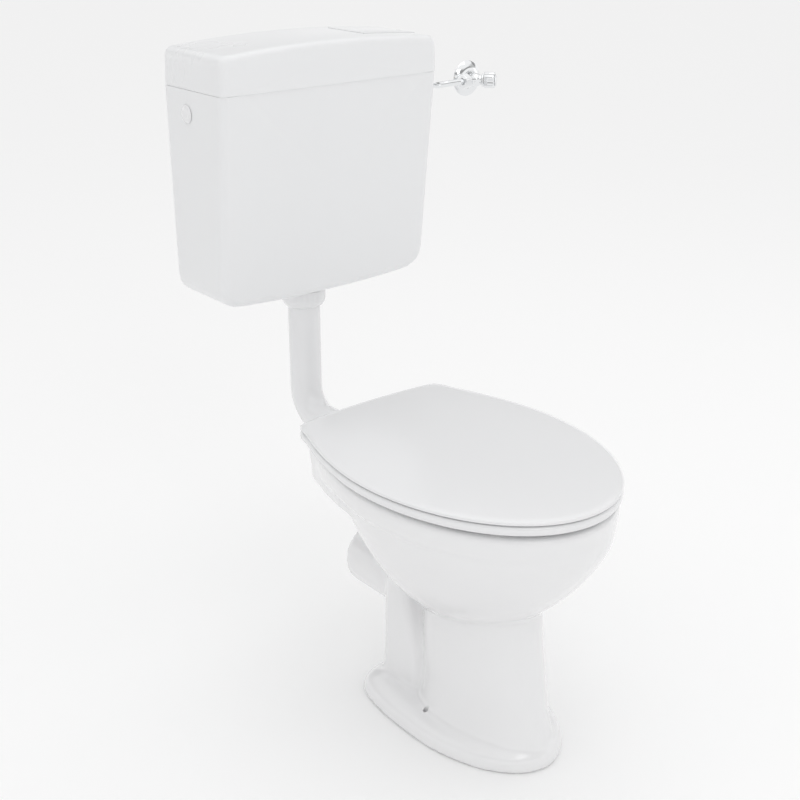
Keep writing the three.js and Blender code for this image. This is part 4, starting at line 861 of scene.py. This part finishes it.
def cistern_tank():
    shell = as_object(tank_solid(0, TANK_TOP + 20, WALL, 13), "cistern_shell")
    room = tank_solid(4, TANK_TOP + 30, WALL - 4, 9)
    top = bar(ACROSS, THROUGH, (TANK_TOP * MM, 1.0))
    holes = [room, top, rod("z", 0.028, 0.56, 0.62, (0, FLUSH_Y, 0)), rod("x", 0.0108, -0.2, 0.2, INLET, 40)]
    holes += [rod("y", WALL_SCREW["radius"], 0.42, 0.46, (side * WALL_SCREW["x"], 0, WALL_SCREW["z"]), 24)
              for side in (-1, 1)]
    carve(shell, *[as_object(hole, "hole") for hole in holes])
    finished(shell, "cistern_tank", crease=35)


LID_FOOT = TANK_TOP + 0.3
LID_HEIGHT = 51
LID_ARCH = 9
LID_DRAW = 2                 # how much the lid narrows from its foot to its top


def arch(x):
    """Height of the cistern lid's arched top at a distance from the middle."""
    return LID_FOOT + LID_HEIGHT + LID_ARCH * (1 - (x / TANK_HALF) ** 2)


def cover_front(inset, bottom, corner=13):
    """Half of the cistern lid's front view from the bottom middle to the top middle."""
    side = TANK_HALF - inset
    half = [Vector((0, bottom)), Vector((side, bottom))]
    start = (side - LID_DRAW, arch(side) - inset - corner)
    end = (side - LID_DRAW - corner, arch(side - corner) - inset)
    half += bezier(start, (side - LID_DRAW, arch(side) - inset), end)
    crown = 2 * arch(0) - arch(side - corner)
    top = (crown + end[1]) / 2 - inset / 2
    half += bezier(end, (end[0] / 2, top), (0, top))[1:]
    return half


def cover_solid(inset, bottom, back, edge):
    """The cistern lid's shape from the middle of its front, round the edge, to the back."""
    front = WALL - TANK_DEPTH + inset
    rings = [upright_ring(cover_front(inset + pull, bottom), lambda z, y=front + set_back: y)
             for pull, set_back in round_edge(edge)]
    centre = Vector((0, front * MM, COVER_MIDDLE))
    cap = [centre + (p - centre) * CAP for p in rings[0]]
    return skin([cap] + rings + [upright_ring(cover_front(inset, bottom), lambda z: back)])


PLATE = {"x": (81, 176), "y": (334, 422)}
PLATE_GAP = 1.6
PLATE_THICK = 6
PLATE_PROUD = 1              # how far the plate stands above the lid
PLATE_LUGS = ((352, 358), (398, 404))
POCKET_FLOOR = arch(81) - 25


def cistern_cover():
    shell = as_object(cover_solid(0, LID_FOOT - 20, WALL, 10), "cistern_cover")
    room = cover_solid(3.5, LID_FOOT - 30, WALL - 3.5, 7)
    foot_cut = bar(ACROSS, THROUGH, (0.8, LID_FOOT * MM))
    carve(shell, as_object(room, "room"), as_object(foot_cut, "foot"))
    inside = TANK_HALF - 4.6
    lip_box = (WALL - TANK_DEPTH + 5.4, WALL - 4.6)
    lip = as_object(skin([rounded_outline(inside, lip_box[0], lip_box[1], 12, z)
                          for z in (LID_FOOT - 8, LID_FOOT + 6)]), "lip")
    throat = as_object(skin([rounded_outline(inside - 3, lip_box[0] + 3, lip_box[1] - 3, 10, z)
                             for z in (LID_FOOT - 20, LID_FOOT + 20)]), "throat")
    carve(lip, throat)
    x, y = PLATE["x"], PLATE["y"]
    reach = PLATE_GAP + 3
    tub = as_object(bar(((x[0] - reach) * MM, (x[1] + reach) * MM),
                        ((y[0] - reach) * MM, (y[1] + reach) * MM),
                        ((POCKET_FLOOR - 3) * MM, (arch(x[1]) - 4) * MM)), "tub")
    weld(shell, lip, tub)
    pocket = bar(((x[0] - PLATE_GAP) * MM, (x[1] + PLATE_GAP) * MM),
                 ((y[0] - PLATE_GAP) * MM, (y[1] + PLATE_GAP) * MM), (POCKET_FLOOR * MM, 1.1))
    stem_slot = bar((0.132, 0.158), (0.343, 0.361), ((POCKET_FLOOR - 6) * MM, (POCKET_FLOOR + 2) * MM))
    corners = [e for e in pocket.edges if abs(e.verts[0].co.z - e.verts[1].co.z) > 0.01]
    bmesh.ops.bevel(pocket, geom=corners, offset=0.002, offset_type="OFFSET", segments=3, profile=0.5,
                    affect="EDGES", material=-1)
    carve(shell, as_object(pocket, "pocket"), as_object(stem_slot, "stem_slot"))
    finished(shell, "cistern_lid", crease=35)


def push_plate():
    """The arched plate on the right of the cistern's lid, with its stem and hinge lugs."""
    x, y = PLATE["x"], PLATE["y"]
    edge, span = 1.2, 24

    def ring(inset, drop):
        xs = [x[0] + inset + (x[1] - x[0] - 2 * inset) * k / span for k in range(span + 1)]
        arched = [(u, arch(u) + PLATE_PROUD - drop) for u in xs]
        front = [Vector((u, y[0] + inset, z)) * MM for u, z in arched]
        back = [Vector((u, y[1] - inset, z)) * MM for u, z in reversed(arched)]
        return front + back
    rings = [ring(0.6, PLATE_THICK), ring(0, edge), ring(edge * 0.3, edge * 0.35), ring(edge, 0)]
    plate = as_object(skin(rings), "push_plate")
    pin_x = x[0] + 4
    pin_z = arch(pin_x) - 11
    tools = [bar((0.146, 0.154), (0.346, 0.358), (low("flush_plate", "z"), (arch(150) - 4) * MM))]
    for a, b in PLATE_LUGS:
        tools.append(bar(((pin_x - 3.5) * MM, (pin_x + 3.5) * MM), (a * MM, b * MM),
                         ((pin_z - 4) * MM, (arch(pin_x) - 4) * MM)))
    weld(plate, *[as_object(tool, "tool") for tool in tools])
    finished(plate, "flush_plate", crease=35)


cistern_tank()
cistern_cover()
push_plate()


# ------------------------------------------------------------------ flush bend
def flush_bend():
    top, nose = high("flush_pipe", "z"), low("flush_pipe", "y")
    y, z, bend = FLUSH_Y, HORN[2], 0.046
    route = [Vector((0, y, top - (top - z - bend) * k / 6)) for k in range(7)]
    for k in range(1, 17):
        turn = math.radians(90 * k / 16)
        route.append(Vector((0, y - bend + bend * math.cos(turn), z + bend - bend * math.sin(turn))))
    route += [Vector((0, y - bend - (y - bend - nose) * k / 4, z)) for k in range(1, 5)]
    finished(as_object(tube(route, 0.025, 0.022, 64), "flush_bend"), "flush_pipe", crease=50)


def collar_nut():
    """The nut under the cistern, with shallow finger grips round it."""
    bottom, top = low("pipe_nut", "z"), high("pipe_nut", "z")
    grips, grip_depth = 12, 0.0007
    profile = eased([(0.0255, bottom + 0.0004), (0.028, bottom), (0.0318, bottom + 0.004),
                     (0.034, bottom + 0.010), (0.034, top), (0.0276, top), (0.0276, bottom + 0.018),
                     (0.0305, bottom + 0.017), (0.0305, bottom + 0.006), (0.0255, bottom + 0.004)],
                    0.0012, closed=True)
    nut = turned(profile, "z", (0, FLUSH_Y, 0), closed=True, sides=72)
    rim = [v for v in nut.verts if Vector((v.co.x, v.co.y - FLUSH_Y)).length > 0.0325]
    for vert in rim:
        out = Vector((vert.co.x, vert.co.y - FLUSH_Y, 0))
        turn = math.atan2(out.y, out.x)
        groove = grip_depth * max(0.0, math.cos(turn * grips)) ** 4
        vert.co -= out.normalized() * groove
    finished(as_object(nut, "collar_nut"), "pipe_nut", crease=40)


def rubber_cone():
    start, end = low("inlet_cone", "y"), high("inlet_cone", "y")
    step = 0.249                 # where its bore narrows from the horn to the flush pipe
    profile = eased([(0.0278, start), (0.0302, start), (0.0302, step), (0.0285, end - 0.006),
                     (0.0275, end), (0.0253, end), (0.0253, step + 0.0002), (0.0278, step)],
                    0.0015, closed=True)
    finished(as_object(turned(profile, "y", HORN, closed=True), "rubber_cone"), "inlet_cone", crease=50)


flush_bend()
collar_nut()
rubber_cone()


# ------------------------------------------------------------------ inlet tube and angle valve
VALVE = Vector((0.377, 0.417, 0.844))
SPINDLE = Matrix.Rotation(math.radians(40), 4, "Z") @ Matrix.Rotation(math.radians(90), 4, "X")
LOBES = 5
LOBE_DEPTH = 0.0013


def inlet_tube():
    start, end = low("supply_tube", "x"), high("supply_tube", "x")
    near = [(start / MM + x, INLET[1] / MM, INLET[2] / MM) for x in (0, 10, 22)]
    far = [(end / MM + x, VALVE.y / MM, VALVE.z / MM) for x in (-70, -40, -16, 0)]
    pipe = tube(smooth_route(near + far, 12), 0.005, 0.004)
    finished(as_object(pipe, "inlet_tube"), "supply_tube", crease=50)


def wall_rosette():
    wall = WALL * MM
    profile = eased([(0.0105, wall - 0.009), (0.0135, wall - 0.0095), (0.019, wall - 0.0085),
                     (0.0245, wall - 0.0055), (0.0282, wall - 0.0022), (0.029, wall - 0.0008),
                     (0.0288, wall), (0.0105, wall)], 0.002, closed=True)
    disc = turned(profile, "y", (VALVE.x, 0, VALVE.z), closed=True, sides=96)
    finished(as_object(disc, "wall_rosette"), "rosette", crease=50)


def valve_casting():
    """The valve's body: a ball with its wall tail, its side outlet and the spindle's neck."""
    ball = bmesh.new()
    bmesh.ops.create_uvsphere(ball, u_segments=48, v_segments=32, radius=0.011)
    bmesh.ops.translate(ball, vec=VALVE, verts=ball.verts)
    tail = rod("y", 0.010, VALVE.y, high("valve_body", "y"), (VALVE.x, 0, VALVE.z))
    outlet = rod("x", 0.0085, VALVE.x - 0.016, VALVE.x, (0, VALVE.y, VALVE.z))
    neck = rod(SPINDLE, 0.0085, 0.0, 0.0105, VALVE)
    body = fuse("valve_casting", [ball, tail, outlet, neck], 0.0006)
    soften(body, 4)
    bores = [rod("x", 0.004, VALVE.x - 0.017, VALVE.x, (0, VALVE.y, VALVE.z), 32),
             rod(SPINDLE, 0.0034, 0, 0.012, VALVE, 32)]
    carve(body, *[as_object(bore, "bore") for bore in bores])
    finished(body, "valve_body", crease=45)


def lobed_handle():
    """A five-lobed grip on the spindle, with soft ends."""
    radius, bore, count = 0.0135, 0.0033, 100
    turns = [2 * math.pi * k / count for k in range(count)]
    levels = [(0.0140, -0.0014), (0.0144, -0.0005), (0.0155, 0), (0.0305, 0), (0.0316, -0.0005),
              (0.032, -0.0015)]

    def ring(depth, ease):
        reach = [radius - LOBE_DEPTH + LOBE_DEPTH * math.cos(LOBES * turn) + ease for turn in turns]
        return [Vector((r * math.cos(turn), r * math.sin(turn), depth)) for r, turn in zip(reach, turns)]

    def hole(depth):
        return [Vector((bore * math.cos(turn), bore * math.sin(turn), depth)) for turn in turns]
    grip = skin([hole(0.0138)] + [ring(d, e) for d, e in levels] + [hole(0.032), hole(0.028)], "joined")
    bmesh.ops.transform(grip, matrix=Matrix.Translation(VALVE) @ SPINDLE, verts=grip.verts)
    finished(as_object(grip, "lobed_handle"), "valve_handle", crease=45)


def domed_cap():
    """The cap on the end of the grip."""
    profile = eased([(0, 0.0323), (0.0094, 0.0323), (0.0095, 0.0335), (0.0078, 0.0346), (0, 0.035)], 0.0006)
    finished(as_object(turned(profile, SPINDLE, VALVE), "domed_cap"), "handle_cap", crease=50)


def domed_plug():
    """The plug in the cistern's unused left hole."""
    face, inner = low("blanking_plug", "x"), high("blanking_plug", "x")
    profile = eased([(0, face), (0.007, face + 0.0004), (0.0115, face + 0.0022), (0.013, face + 0.004),
                     (0.010, face + 0.0042), (0.010, inner), (0, inner)], 0.0008)
    finished(as_object(turned(profile, "x", INLET), "domed_plug"), "blanking_plug", crease=50)


inlet_tube()
wall_rosette()
valve_casting()
lobed_handle()
domed_cap()
domed_plug()

# The small fittings keep their shapes and get eased edges.
remade = {"pan", "seat_ring", "seat_lid", "cistern_tank", "cistern_lid", "flush_plate", "flush_pipe",
          "pipe_nut", "inlet_cone", "supply_tube", "rosette", "valve_body", "valve_handle", "handle_cap",
          "blanking_plug"}
for name in sorted(set(frame["nodes"]) - remade):
    softened(name)
for name, node in frame["nodes"].items():
    node.data.materials.clear()
    node.data.materials.append(FINISHES[SLOTS[name]])


# ------------------------------------------------------------------ stage, light and camera
def floor():
    bm = bmesh.new()
    bmesh.ops.create_grid(bm, x_segments=1, y_segments=1, size=20.0)
    sheet = as_object(bm, "studio_floor")
    material = bpy.data.materials.new("pale_floor")
    material.use_nodes = True
    shader = material.node_tree.nodes["Principled BSDF"]
    shader.inputs["Base Color"].default_value = (0.97, 0.97, 0.97, 1)
    shader.inputs["Roughness"].default_value = 0.9
    shader.inputs["Specular IOR Level"].default_value = 0.1
    sheet.data.materials.append(material)


def softbox(name, place, aim, size, power):
    light = bpy.data.lights.new(name, "AREA")
    light.shape = "RECTANGLE"
    light.size, light.size_y = size
    light.energy = power
    lamp = bpy.data.objects.new(name, light)
    bpy.context.scene.collection.objects.link(lamp)
    lamp.location = place
    lamp.rotation_euler = (Vector(aim) - Vector(place)).to_track_quat("-Z", "Y").to_euler()


BAND = {"height": 0.38, "inner": 0.06, "outer": 0.2}    # on a sky from 0 at the horizon to 1
BAND_GLOW, SKY_GLOW = 0.35, 1.05


def studio():
    """White air with a darker band part of the way up, and three soft lamps."""
    world = bpy.data.worlds.new("studio_air")
    bpy.context.scene.world = world
    world.use_nodes = True
    nodes, links = world.node_tree.nodes, world.node_tree.links
    air = nodes["Background"]
    air.inputs["Color"].default_value = (1, 1, 1, 1)
    height = nodes.new("ShaderNodeSeparateXYZ")
    links.new(nodes.new("ShaderNodeTexCoord").outputs["Generated"], height.inputs["Vector"])
    band = nodes.new("ShaderNodeMath")
    band.operation = "SUBTRACT"
    band.inputs[1].default_value = BAND["height"]
    links.new(height.outputs["Z"], band.inputs[0])
    apart = nodes.new("ShaderNodeMath")
    apart.operation = "ABSOLUTE"
    links.new(band.outputs["Value"], apart.inputs[0])
    glow = nodes.new("ShaderNodeMapRange")
    glow.interpolation_type = "SMOOTHSTEP"
    glow.inputs["From Min"].default_value = BAND["inner"]
    glow.inputs["From Max"].default_value = BAND["outer"]
    glow.inputs["To Min"].default_value = BAND_GLOW
    glow.inputs["To Max"].default_value = SKY_GLOW
    links.new(apart.outputs["Value"], glow.inputs["Value"])
    links.new(glow.outputs["Result"], air.inputs["Strength"])
    softbox("key_softbox", (-1.0, -2.6, 2.6), (0.05, 0.1, 0.5), (1.4, 1.4), 8)
    softbox("top_softbox", (0.3, 0.1, 3.0), (0, 0.1, 0.5), (2.0, 2.0), 5)
    softbox("side_softbox", (2.6, -0.6, 1.2), (0, 0.1, 0.5), (1.0, 2.0), 1.5)


VIEW = {"lens": 59.09, "place": (-1.1156, -1.2074, 1.1849), "down": 22.4995, "turn": -39.340}


def camera():
    lens = bpy.data.cameras.new("studio_camera")
    lens.sensor_width = 36.0
    lens.lens = VIEW["lens"]
    lens.clip_end = 60
    eye = bpy.data.objects.new("studio_camera", lens)
    bpy.context.scene.collection.objects.link(eye)
    eye.location = VIEW["place"]
    eye.rotation_euler = (math.radians(90 - VIEW["down"]), 0, math.radians(VIEW["turn"]))
    bpy.context.scene.camera = eye


floor()
studio()
camera()
bpy.context.scene.view_settings.view_transform = "Standard"
